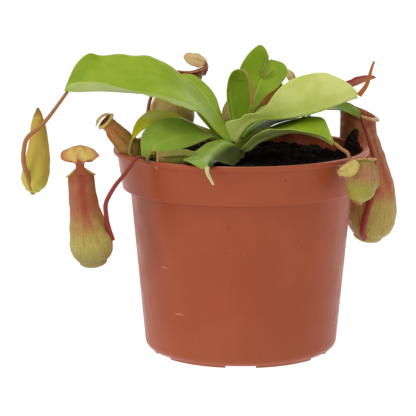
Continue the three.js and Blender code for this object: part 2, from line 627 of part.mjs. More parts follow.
// The pot is one moulding. It is kept as a base, a body and a collar, a seat gap apart, because
// each of these splits into a few convex pieces and the whole cup doesn't.
function potParts() {
  const whole = notchedPot();
  const between = (low, high) => whole.trimByPlane([0, 0, 1], low).trimByPlane([0, 0, -1], -high);
  return {
    pot_floor: between(-1, floorTop),
    pot_body: between(floorTop + SEAT_GAP, POT.seam - SEAT_GAP),
    pot_collar: between(POT.seam, POT.height + 1),
  };
}

// ---------------------------------------------------------------- soil and stem
// The soil fills the pot up to an uneven top, with loose fibre heaped against the rim.
function soilHeight(x, y) {
  const { mound, relief, level } = SOIL;
  const uneven = Math.sin(0.23 * x + 1.3) * Math.cos(0.19 * y - 0.4)
    + 0.6 * Math.sin(0.51 * x - 0.43 * y);
  const distance = Math.hypot(x - mound.x, y - mound.y) / mound.spread;
  return level + relief * uneven + mound.height * Math.exp(-(distance ** 2));
}

function soil(raise = 0) {
  const { wallGap, sides, rings: topRings, footInset, footRise, shoulderInset, rimInset } = SOIL;
  const inner = (z) => {
    const rise = (z - POT.baseRounding) / (POT.collarBottom - POT.baseRounding);
    return THREE.MathUtils.lerp(POT.baseRadius, POT.bodyTopRadius, rise) - POT.wall - wallGap;
  };
  const ring = (radius, heightAt) => Array.from({ length: sides }, (_, j) => {
    const angle = (2 * Math.PI * j) / sides;
    const [x, y] = [radius * Math.cos(angle), radius * Math.sin(angle)];
    return new THREE.Vector3(x, y, heightAt(x, y));
  });
  const shoulder = POT.collarBottom + POT.wall + wallGap;
  const top = POT.collarTopRadius - POT.wall - wallGap - rimInset;
  const bottom = floorTop + wallGap;
  const rings = [
    [new THREE.Vector3(0, 0, bottom)], ring(inner(bottom) - footInset, () => bottom),
    ring(inner(footRise), () => footRise), ring(inner(POT.collarBottom), () => shoulder),
    ring(POT.collarBottomRadius - POT.wall - wallGap - shoulderInset, () => shoulder),
  ];
  for (let i = 0; i < topRings; i++) {
    rings.push(ring(top * (1 - (i / topRings) ** 1.2), (x, y) => soilHeight(x, y) + raise));
  }
  rings.push([new THREE.Vector3(0, 0, soilHeight(0, 0) + raise)]);
  return toSolid(skinOver(rings));
}

// Stubs of fibre that stand out of the mound.
function fibres() {
  const { count, length, radius, seed } = SOIL.fibres;
  const { x, y, spread } = SOIL.mound;
  return Array.from({ length: count }, (_, i) => {
    const draw = (n) => {
      const hashed = Math.sin((i + 1) * 12.99 * (n + seed)) * 43758.5;
      return hashed - Math.floor(hashed);
    };
    const angle = 2 * Math.PI * draw(1);
    const reach = 0.75 * spread * draw(2);
    const [px, py] = [x + reach * Math.cos(angle) * 0.5, y + reach * Math.sin(angle)];
    const rootZ = soilHeight(px, py) - 2.5;
    const lean = [2 * (draw(3) - 0.5), 2 * (draw(4) - 0.5)];
    const route = [[px, py, rootZ], [px + lean[0], py + lean[1], rootZ + length * (0.4 + 0.3 * draw(5))],
      [px + 2.2 * lean[0], py + 2.5 * lean[1], rootZ + length * (0.7 + 0.4 * draw(5))]];
    return toSolid(rod(route, (t) => radius * (1 - 0.5 * t), 2, 4));
  });
}

// A round post on the stem's line between two heights.
function post(radius, bottom, top, sides) {
  const shape = new THREE.CylinderGeometry(radius, radius, top - bottom, sides).rotateX(Math.PI / 2);
  return toSolid(shape.translate(STEM.x, STEM.y, (top + bottom) / 2));
}

function stem(spare = 0) {
  return post(STEM.radius + spare, SOIL.level - STEM.depth - spare, STEM.top + spare, STEM.sides);
}

function soilWithStemHole() {
  const { radius, depth, sides } = SOIL.stemHole;
  const hole = post(radius, SOIL.level - depth, STEM.top, sides);
  const heaped = fibres().reduce((whole, fibre) => whole.add(fibre), soil());
  return largestBody(heaped.subtract(pot(SEAT_GAP)).subtract(hole));
}

// ---------------------------------------------------------------- assembly
// Pieces are placed in this order. Each later one is cut back, with the seat gap, where it
// would run into an earlier one.
const grownPot = pot(SEAT_GAP);
const pieces = Object.entries(potParts()).map(([name, solid]) => ({ name, solid, grown: grownPot }));
pieces.push({ name: 'soil', solid: soilWithStemHole(), grown: soil(SEAT_GAP) });
pieces.push({ name: 'stem', solid: stem(), grown: stem(SEAT_GAP) });
const fittedCount = pieces.length;
const plantParts = [[PITCHERS, pitcher], [LEAVES, leaf], [TENDRILS, tendril], [LIDS, lid]];
for (const [specs, build] of plantParts) {
  for (const [name, spec] of Object.entries(specs)) {
    pieces.push({ name, solid: toSolid(build(spec)), grown: toSolid(build(spec, SEAT_GAP)) });
  }
}

const overlaps = (a, b) => [0, 1, 2].every((i) => a.min[i] < b.max[i] && b.min[i] < a.max[i]);
const group = new THREE.Group();
pieces.forEach(({ name, solid }, i) => {
  let shape = solid;
  if (i >= fittedCount) {
    const box = solid.boundingBox();
    const near = pieces.slice(0, i).filter(({ grown }) => overlaps(box, grown.boundingBox()));
    shape = largestBody(near.reduce((left, { grown }) => left.subtract(grown), solid));
  }
  const material = new THREE.MeshStandardMaterial({
    color: COLOURS[name] ?? COLOURS.pot,
    roughness: ROUGHNESS[name] ?? (name.startsWith('pot') ? ROUGHNESS.pot : ROUGHNESS.plant),
    metalness: 0,
  });
  const mesh = new THREE.Mesh(toGeometry(shape), material);
  mesh.name = name;
  group.add(mesh);
});

export default group;
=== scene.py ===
# %% [markdown]
# # A young pitcher plant in a nursery pot
# The real thing is a plastic pot full of peat. A short stem stands in it and carries broad
# leaves. Each leaf's midrib runs on past the tip as a tendril, and the tendril's end swells into
# a pitcher with a lid. The solids that this scene dresses give the places and the sizes. The
# cells below load them, and give each one a finer form and a finish in the same place. A few
# pieces are a little slimmer, thicker, rounder or more rolled than their solids.

# %% The frame
import math

import bmesh
import bpy
import numpy as np
from mathutils import Matrix, Vector


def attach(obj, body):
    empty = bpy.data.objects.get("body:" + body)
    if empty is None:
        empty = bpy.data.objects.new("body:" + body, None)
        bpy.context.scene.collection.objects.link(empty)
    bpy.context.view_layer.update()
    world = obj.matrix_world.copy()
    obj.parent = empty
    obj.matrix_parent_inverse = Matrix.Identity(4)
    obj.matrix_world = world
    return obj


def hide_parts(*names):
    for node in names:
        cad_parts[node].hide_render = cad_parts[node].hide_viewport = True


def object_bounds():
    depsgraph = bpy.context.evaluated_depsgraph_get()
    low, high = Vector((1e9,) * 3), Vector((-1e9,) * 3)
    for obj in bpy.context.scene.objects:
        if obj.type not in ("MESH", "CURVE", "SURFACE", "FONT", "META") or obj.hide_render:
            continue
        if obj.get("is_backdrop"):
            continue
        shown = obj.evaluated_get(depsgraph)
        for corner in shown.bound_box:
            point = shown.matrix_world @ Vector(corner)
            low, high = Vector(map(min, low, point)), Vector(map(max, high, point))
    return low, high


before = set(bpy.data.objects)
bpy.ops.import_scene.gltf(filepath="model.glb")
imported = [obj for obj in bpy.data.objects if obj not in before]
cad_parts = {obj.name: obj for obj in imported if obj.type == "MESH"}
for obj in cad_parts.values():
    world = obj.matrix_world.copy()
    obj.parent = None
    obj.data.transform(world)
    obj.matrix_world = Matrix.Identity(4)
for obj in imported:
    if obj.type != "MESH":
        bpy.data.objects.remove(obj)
CAD_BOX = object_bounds()
MM = 0.001


def put_in_scene(name, data):
    """A new object at the origin that holds a mesh, a light or a camera."""
    thing = bpy.data.objects.new(name, data)
    bpy.context.collection.objects.link(thing)
    return thing


print("solids in the frame:", len(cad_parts))

# %% [markdown]
# ## Camera
# The plant was seen with a long lens from about a metre away, a little above the rim. A long
# lens keeps the pot's sides nearly parallel. The camera comes first, so that every later piece
# can be judged through it.

# %% Camera
CAMERA_PLACE = (0.0, -1.0, 0.245)
LOOK_DOWN = math.radians(10.083)
LOOK_RIGHT = math.radians(-0.894)
LENS, SENSOR_WIDTH = 186.3, 36.0
FARTHEST_SEEN = 50.0

camera_data = bpy.data.cameras.new("camera")
camera_data.lens = LENS
camera_data.sensor_width = SENSOR_WIDTH
camera_data.clip_end = FARTHEST_SEEN
camera = put_in_scene("camera", camera_data)
camera.location = CAMERA_PLACE
camera.rotation_euler = (math.pi / 2 - LOOK_DOWN, 0.0, -LOOK_RIGHT)
bpy.context.scene.camera = camera
print("camera lens", LENS, "mm")

# %% [markdown]
# ## Light
# A plant like this is lit with large soft boxes and a white table, so that shadows are faint
# and the plastic shines softly. Area lights stand for the boxes. The Standard view keeps the
# greens as bright as they are, where a film-like view would grey them.

# %% Light
SOFT_BOXES = {  # place, what it points at, width, height, power in watts
    "box_left": ((-1.3, -1.0, 0.75), (0.0, 0.0, 0.06), 0.5, 1.3, 8.0),
    "box_right": ((1.5, -0.7, 0.6), (0.0, 0.0, 0.06), 0.45, 1.2, 2.0),
    "box_top": ((-0.1, -0.35, 1.5), (0.0, 0.0, 0.05), 1.2, 1.0, 9.0),
    "box_back": ((0.3, 1.5, 0.9), (0.0, 0.0, 0.08), 1.4, 0.8, 6.0),
}
WORLD_STRENGTH = 0.5
WHITE = (1.0, 1.0, 1.0, 1.0)


def soft_box(name, place, target, width, height, power):
    data = bpy.data.lights.new(name, "AREA")
    data.shape = "RECTANGLE"
    data.size = width
    data.size_y = height
    data.energy = power
    light = put_in_scene(name, data)
    light.location = place
    light.rotation_euler = (Vector(target) - Vector(place)).to_track_quat("-Z", "Y").to_euler()


for box_name, box_facts in SOFT_BOXES.items():
    soft_box(box_name, *box_facts)
world = bpy.data.worlds.new("white_room")
world.use_nodes = True
background = world.node_tree.nodes["Background"]
background.inputs["Color"].default_value = WHITE
background.inputs["Strength"].default_value = WORLD_STRENGTH
bpy.context.scene.world = world
bpy.context.scene.view_settings.view_transform = "Standard"
bpy.context.scene.view_settings.look = "None"
print("soft boxes:", len(SOFT_BOXES))

# %% [markdown]
# ## Reading a shape from a few points
# A leaf, a tendril and a pitcher all follow smooth lines. Each line is a short list of places
# that the line goes through, in millimetres, and the curve between them is worked out, so the
# same few numbers give a coarse solid or a fine mesh.

# %% Smooth lines
SPAN_STEPS = 24


def smooth_curve(points):
    """Many places on the curve through the points, with each one's share of the way by point."""
    given = np.array(points, float)
    padded = np.vstack([2 * given[0] - given[1], given, 2 * given[-1] - given[-2]])
    places, shares = [], []
    for span in range(len(given) - 1):
        a, b, c, d = padded[span:span + 4]
        for t in np.linspace(0, 1, SPAN_STEPS, endpoint=span == len(given) - 2):
            places.append(0.5 * (2 * b + (c - a) * t + (2 * a - 5 * b + 4 * c - d) * t ** 2
                                 + (3 * b - a - 3 * c + d) * t ** 3))
            shares.append((span + t) / (len(given) - 1))
    return np.array(places), np.array(shares)


def by_length(points, fractions):
    """Places at those fractions of the curve's length."""
    places, _ = smooth_curve(points)
    run = np.concatenate([[0], np.cumsum(np.linalg.norm(np.diff(places, axis=0), axis=1))])
    return np.stack([np.interp(fractions, run / run[-1], places[:, k]) for k in range(3)], axis=1)


def by_point(points, fractions):
    """Places at those fractions of the list of points."""
    places, shares = smooth_curve(points)
    return np.stack([np.interp(fractions, shares, places[:, k])
                     for k in range(places.shape[1])], axis=1)


def unit(vectors):
    return vectors / np.maximum(np.linalg.norm(vectors, axis=-1, keepdims=True), 1e-9)


def step_up(value, low, high):
    """0 below low, 1 above high, and a smooth rise between."""
    t = np.clip((value - low) / (high - low), 0, 1)
    return t * t * (3 - 2 * t)


print("places on a line of five points:", len(smooth_curve([[i, 0, 0] for i in range(5)])[0]))

# %% [markdown]
# ## Making a mesh from rows of places
# Every part of the plant is a grid of places: along it and across or round it. One helper turns
# rows of places into faces, and stores two things that the finishes read: a UV map, and named
# values such as how far along the piece a place is.

# %% Meshes
def new_piece(name, places_mm, faces, materials, uv=None, values=None, face_material=None):
    """A smooth-shaded piece at the origin. values holds one number for each place."""
    mesh = bpy.data.meshes.new(name)
    mesh.from_pydata((np.asarray(places_mm) * MM).tolist(), [], faces)
    for material in materials:
        mesh.materials.append(material)
    corner_place = np.zeros(len(mesh.loops), dtype=np.int32)
    mesh.loops.foreach_get("vertex_index", corner_place)
    if uv is not None:
        layer = mesh.uv_layers.new(name="grain")
        layer.data.foreach_set("uv", np.asarray(uv, np.float32)[corner_place].ravel())
    for key, numbers in (values or {}).items():
        attribute = mesh.attributes.new(key, "FLOAT", "POINT")
        attribute.data.foreach_set("value", np.asarray(numbers, np.float32))
    if face_material is not None:
        mesh.polygons.foreach_set("material_index", np.asarray(face_material, np.int32))
    mesh.polygons.foreach_set("use_smooth", [True] * len(mesh.polygons))
    mesh.validate()
    mesh.update()
    return put_in_scene(name, mesh)


def grid_faces(rows, columns, closed=False, flip=False, start=0):
    """Four-sided faces of a grid; closed joins the last column to the first, flip turns the
    faces round, and start is the number of the grid's first place."""
    faces = []
    for i in range(rows - 1):
        for j in range(columns if closed else columns - 1):
            k = (j + 1) % columns
            face = (start + i * columns + j, start + i * columns + k,
                    start + (i + 1) * columns + k, start + (i + 1) * columns + j)
            faces.append(face[::-1] if flip else face)
    return faces


def capped_faces(rows, columns):
    """Faces of closed rings, shut by a pole at each end; the poles are the last two places."""
    first_pole, last_row = rows * columns, (rows - 1) * columns
    faces = grid_faces(rows, columns, closed=True)
    faces += [(first_pole, (j + 1) % columns, j) for j in range(columns)]
    faces += [(first_pole + 1, last_row + j, last_row + (j + 1) % columns) for j in range(columns)]
    return faces


def finish_piece(piece, slot, *nodes):
    """Rides on the one body and stands for the solids it replaces. The slot is not used."""
    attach(piece, "root")
    if nodes:
        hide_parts(*nodes)
    print(f"{piece.name}: {len(piece.data.polygons)} faces")
    return piece


# %% [markdown]
# ## Uneven surfaces
# Nothing that grew is even. A sum of a few sine waves in seeded directions gives a soft
# unevenness that can be read at any place, and gives the same answer on every run.

# %% Soft unevenness
WAVES = 14
rng = np.random.default_rng(41)
WAVE_WAYS = unit(rng.normal(size=(WAVES, 3)))
WAVE_SIZES = rng.uniform(0.6, 1.7, WAVES)
WAVE_STARTS = rng.uniform(0, 2 * math.pi, WAVES)


def uneven(places_mm, size_mm, seed=0.0):
    """About -1 to 1, with hollows and swellings about size_mm across."""
    turns = places_mm @ (WAVE_WAYS * WAVE_SIZES[:, None]).T * (2 * math.pi / (2 * size_mm))
    return np.sin(turns + WAVE_STARTS + seed * (1 + np.arange(WAVES))).sum(axis=-1) / math.sqrt(WAVES)


def name_seed(name):
    """Each piece's own number, so that no two are uneven in the same way."""
    return 0.1 * sum(map(ord, name))


print("unevenness at the origin:", round(float(uneven(np.zeros((1, 3)), 5)[0]), 3))

# %% [markdown]
# ## Colours and shader nodes
# Colours are noted as they look on a screen, from 0 to 255, and turned into light values. A
# small helper adds one shader node and joins it up, which keeps each finish short to read.

# %% Colours and nodes
def paint(red, green, blue):
    """A screen colour as linear light."""
    def linear(level):
        share = level / 255
        return share / 12.92 if share <= 0.04045 else ((share + 0.055) / 1.055) ** 2.4
    return (linear(red), linear(green), linear(blue), 1.0)


def add(tree, kind, inputs=None, **settings):
    """One node, with its settings, and each input given as a value or joined to a socket."""
    made = tree.nodes.new(kind)
    for key, value in settings.items():
        setattr(made, key, value)
    for key, value in (inputs or {}).items():
        if isinstance(value, bpy.types.NodeSocket):
            tree.links.new(value, made.inputs[key])
        else:
            made.inputs[key].default_value = value
    return made


def mix(tree, share, below, above):
    """A colour between two colours."""
    blend = add(tree, "ShaderNodeMix", {0: share, 6: below, 7: above}, data_type="RGBA")
    return blend.outputs[2]


def sum_up(tree, operation, *numbers):
    """One sum of two or three numbers, each given as a value or a socket."""
    return add(tree, "ShaderNodeMath", dict(enumerate(numbers)), operation=operation).outputs[0]


def cover(tree, mask, share, below, above):
    """A colour laid over another where the mask is, and at most by that share."""
    return mix(tree, sum_up(tree, "MULTIPLY", mask, share), below, above)


def between(tree, value, least, most):
    """A value from 0 to 1, read as one from least to most."""
    spread = add(tree, "ShaderNodeMapRange", {"Value": value, "To Min": least, "To Max": most})
    return spread.outputs["Result"]


def ramp(tree, share, stops):
    """A colour that changes along a run of stops, each a place from 0 to 1 and a colour."""
    node = add(tree, "ShaderNodeValToRGB", {0: share})
    node.color_ramp.interpolation = "EASE"
    while len(node.color_ramp.elements) < len(stops):
        node.color_ramp.elements.new(0.5)
    for element, (place, colour) in zip(node.color_ramp.elements, stops):
        element.position = place
        element.color = colour
    return node.outputs[0]


def new_material(name, roughness=0.5, **constants):
    """A material whose shader's fixed values sit on its own sockets."""
    material = bpy.data.materials.new(name)
    material.use_nodes = True
    shader = material.node_tree.nodes["Principled BSDF"]
    shader.inputs["Roughness"].default_value = roughness
    for socket, value in constants.items():
        shader.inputs[socket.replace("_", " ")].default_value = value
    return material, material.node_tree, shader


def join(tree, source, shader, socket):
    tree.links.new(source, shader.inputs[socket])


def bumped(tree, shader, height, strength, distance_mm):
    bump = add(tree, "ShaderNodeBump", {
        "Height": height, "Strength": strength, "Distance": distance_mm * MM})
    join(tree, bump.outputs["Normal"], shader, "Normal")


print("leaf green in light values:", [round(c, 3) for c in paint(149, 174, 54)])

# %% [markdown]
# ## Effects that several finishes share
# Three effects turn up on many parts: soft patches of another shade, small round specks, and
# streaks that run along the piece. Each is one node group with named inputs, built once, and
# every finish sets its own values on it.

# %% An empty effect
EFFECTS = {}


def new_effect(name, inputs, outputs):
    """An empty node group with named number and place inputs."""
    group = bpy.data.node_groups.new(name, "ShaderNodeTree")
    for key, kind, value in inputs:
        socket = group.interface.new_socket(name=key, in_out="INPUT", socket_type=kind)
        if value is not None:
            socket.default_value = value
    for key in outputs:
        group.interface.new_socket(name=key, in_out="OUTPUT", socket_type="NodeSocketFloat")
    return group, group.nodes.new("NodeGroupInput"), group.nodes.new("NodeGroupOutput")


def per_metre(group, size_mm_socket):
    """How many patterns of that size fit a metre."""
    return sum_up(group, "DIVIDE", 1000.0, size_mm_socket)


print("effects are counted per metre, and sized in millimetres")

# %% Soft patches
def build_patches():
    group, given, result = new_effect("soft_patches", [
        ("Place", "NodeSocketVector", None), ("Size mm", "NodeSocketFloat", 8.0),
        ("Contrast", "NodeSocketFloat", 0.5)], ["Mask"])
    noise = add(group, "ShaderNodeTexNoise", {
        "Vector": given.outputs["Place"], "Scale": per_metre(group, given.outputs["Size mm"]),
        "Detail": 4.0, "Roughness": 0.55})
    low = sum_up(group, "MULTIPLY_ADD", given.outputs["Contrast"], -0.3, 0.5)
    high = sum_up(group, "MULTIPLY_ADD", given.outputs["Contrast"], -0.2, 0.75)
    spread = add(group, "ShaderNodeMapRange", {
        "Value": noise.outputs["Fac"], "From Min": low, "From Max": high}, interpolation_type="SMOOTHSTEP")
    group.links.new(spread.outputs["Result"], result.inputs["Mask"])
    return group


EFFECTS["patches"] = build_patches()
print("patches:", len(EFFECTS["patches"].nodes), "nodes")

# %% Round specks
def build_specks():
    group, given, result = new_effect("fine_specks", [
        ("Place", "NodeSocketVector", None), ("Spacing mm", "NodeSocketFloat", 2.0),
        ("Size", "NodeSocketFloat", 0.2), ("Share kept", "NodeSocketFloat", 0.5)], ["Mask"])
    cells = add(group, "ShaderNodeTexVoronoi", {
        "Vector": given.outputs["Place"], "Scale": per_metre(group, given.outputs["Spacing mm"])})
    nearness = sum_up(group, "DIVIDE", cells.outputs["Distance"], given.outputs["Size"])
    spot = add(group, "ShaderNodeMapRange", {
        "Value": nearness, "From Min": 0.7, "From Max": 1.0, "To Min": 1.0, "To Max": 0.0})
    lottery = add(group, "ShaderNodeSeparateColor", {0: cells.outputs["Color"]})
    kept = sum_up(group, "LESS_THAN", lottery.outputs[0], given.outputs["Share kept"])
    group.links.new(sum_up(group, "MULTIPLY", spot.outputs["Result"], kept), result.inputs["Mask"])
    return group


EFFECTS["specks"] = build_specks()
print("specks:", len(EFFECTS["specks"].nodes), "nodes")

# %% Long streaks
def build_streaks():
    group, given, result = new_effect("long_streaks", [
        ("Grain", "NodeSocketVector", None), ("Lines across", "NodeSocketFloat", 12.0),
        ("Breaks along", "NodeSocketFloat", 2.0), ("Sharpness", "NodeSocketFloat", 0.5)], ["Mask", "Height"])
    parts = add(group, "ShaderNodeSeparateXYZ", {0: given.outputs["Grain"]})
    along = sum_up(group, "MULTIPLY", parts.outputs[0], given.outputs["Breaks along"])
    across = sum_up(group, "MULTIPLY", parts.outputs[1], given.outputs["Lines across"])
    place = add(group, "ShaderNodeCombineXYZ", {0: along, 1: across})
    noise = add(group, "ShaderNodeTexNoise", {
        "Vector": place.outputs[0], "Scale": 1.0, "Detail": 3.0, "Roughness": 0.6, "Distortion": 0.2})
    low = sum_up(group, "MULTIPLY_ADD", given.outputs["Sharpness"], 0.15, 0.42)
    high = sum_up(group, "MULTIPLY_ADD", given.outputs["Sharpness"], -0.12, 0.72)
    spread = add(group, "ShaderNodeMapRange", {
        "Value": noise.outputs["Fac"], "From Min": low, "From Max": high}, interpolation_type="SMOOTHSTEP")
    group.links.new(spread.outputs["Result"], result.inputs["Mask"])
    group.links.new(noise.outputs["Fac"], result.inputs["Height"])
    return group


EFFECTS["streaks"] = build_streaks()
print("streaks:", len(EFFECTS["streaks"].nodes), "nodes")

# %% Effects in a finish
def effect(tree, key, inputs):
    return add(tree, "ShaderNodeGroup", inputs, node_tree=EFFECTS[key]).outputs


def object_place(tree):
    return add(tree, "ShaderNodeTexCoord").outputs["Object"]


def stored(tree, key):
    """A value that is stored on the mesh."""
    return add(tree, "ShaderNodeAttribute", attribute_name=key).outputs["Fac"]


def patches(tree, place, size_mm, contrast):
    return effect(tree, "patches", {"Place": place, "Size mm": size_mm, "Contrast": contrast})["Mask"]


def specks(tree, place, spacing_mm, size, kept):
    """Round specks; size is a share of the spacing, and kept the share of them that shows."""
    return effect(tree, "specks", {"Place": place, "Spacing mm": spacing_mm, "Size": size,
                                   "Share kept": kept})["Mask"]


def streaks(tree, lines_across, breaks_along, sharpness):
    """Streaks along the piece, as a mask and a height."""
    grain = add(tree, "ShaderNodeUVMap", uv_map="grain").outputs["UV"]
    return effect(tree, "streaks", {"Grain": grain, "Lines across": lines_across,
                                    "Breaks along": breaks_along, "Sharpness": sharpness})


print("effect groups:", ", ".join(EFFECTS))

# %% [markdown]
# ## Leaf finish
# A pitcher plant's leaf is waxy and a little leathery. Its upper face is a strong green and its
# lower face a pale yellow-green. Thin veins run from stem to tip, finer ones cross them, the
# midrib and the margin are paler, and a few brown specks show age. The colour of each face is
# chosen by a stored value, so one material serves both.

# %% Leaf finish
# Pale midrib and margin; on a leaf with a painted roll it is also the painted highlight on the roll's crest.
PALE_RIB_AND_HIGHLIGHT = paint(190, 196, 104)
# Painted shade on the rolled half of a leaf.
FOLD_SHADE = paint(34, 34, 6)
BROWN_SPECK = paint(92, 70, 30)


def leaf_finish(name, upper, upper_patch, lower, lower_patch, speck_share=0.06, rib=0.45, sheen=0.14):
    material, tree, shader = new_material(name, Specular_IOR_Level=sheen, Coat_Weight=0.02,
                                          Coat_Roughness=0.3)
    place = object_place(tree)
    broad = patches(tree, place, size_mm=11.0, contrast=0.5)
    fine = patches(tree, place, size_mm=1.3, contrast=0.3)
    veins = streaks(tree, lines_across=46.0, breaks_along=1.6, sharpness=0.5)
    crossing = streaks(tree, lines_across=7.0, breaks_along=90.0, sharpness=0.2)
    top = mix(tree, broad, upper, upper_patch)
    under = mix(tree, broad, lower, lower_patch)
    blade = mix(tree, stored(tree, "upper"), under, top)
    blade = cover(tree, veins["Mask"], 0.12, blade, lower)
    blade = cover(tree, fine, 0.16, blade, upper_patch)
    # Pale midrib and margin, and the painted highlight on a painted roll.
    blade = cover(tree, stored(tree, "pale"), rib, blade, PALE_RIB_AND_HIGHLIGHT)
    # Painted shade on a leaf's rolled half.
    blade = mix(tree, stored(tree, "shaded"), blade, FOLD_SHADE)
    marks = specks(tree, place, spacing_mm=7.0, size=0.07, kept=speck_share)
    blade = cover(tree, marks, 0.8, blade, BROWN_SPECK)
    join(tree, blade, shader, "Base Color")
    join(tree, between(tree, fine, 0.42, 0.58), shader, "Roughness")
    relief = sum_up(tree, "MULTIPLY_ADD", crossing["Height"], 0.35, veins["Height"])
    bumped(tree, shader, relief, 0.22, 0.2)
    return material


LEAF_FINISHES = {
    "green": leaf_finish("leaf_green", paint(130, 156, 26), paint(146, 170, 36),
                         paint(182, 196, 108), paint(168, 186, 86)),
    "deep": leaf_finish("leaf_deep_green", paint(116, 144, 44), paint(130, 156, 52),
                        paint(134, 152, 54), paint(122, 142, 44), speck_share=0.12, rib=0.15),
    # A darker copy of the green for the leaf that lies under the others: painted shade.
    "shade": leaf_finish("leaf_painted_shade_green", paint(84, 112, 24), paint(98, 126, 30),
                         paint(126, 144, 44), paint(112, 132, 36), speck_share=0.08, rib=0.15),
    "golden": leaf_finish("leaf_golden", paint(186, 182, 22), paint(194, 188, 34),
                          paint(160, 156, 24), paint(148, 148, 18), speck_share=0.1, rib=0.2, sheen=0.02),
    "young": leaf_finish("leaf_young", paint(120, 148, 24), paint(136, 162, 34),
                         paint(150, 168, 46), paint(140, 160, 40), speck_share=0.02, rib=0.6),
    "pale": leaf_finish("leaf_pale", paint(186, 200, 76), paint(200, 212, 98),
                        paint(224, 230, 140), paint(208, 218, 112), speck_share=0.02, rib=0.3),
}
print("leaf finishes:", ", ".join(LEAF_FINISHES))

# %% [markdown]
# ## Leaves
# Each leaf hangs on three lines from the stem to the tip: the midrib and the two margins. The
# blade bellies a little between them. Blocks of faces could be bent by hand, but three lines
# say where a leaf goes in a few numbers, and the fine shape follows: a groove over the midrib, a
# keel under it, a margin that thins out and waves, and a faint quilting.

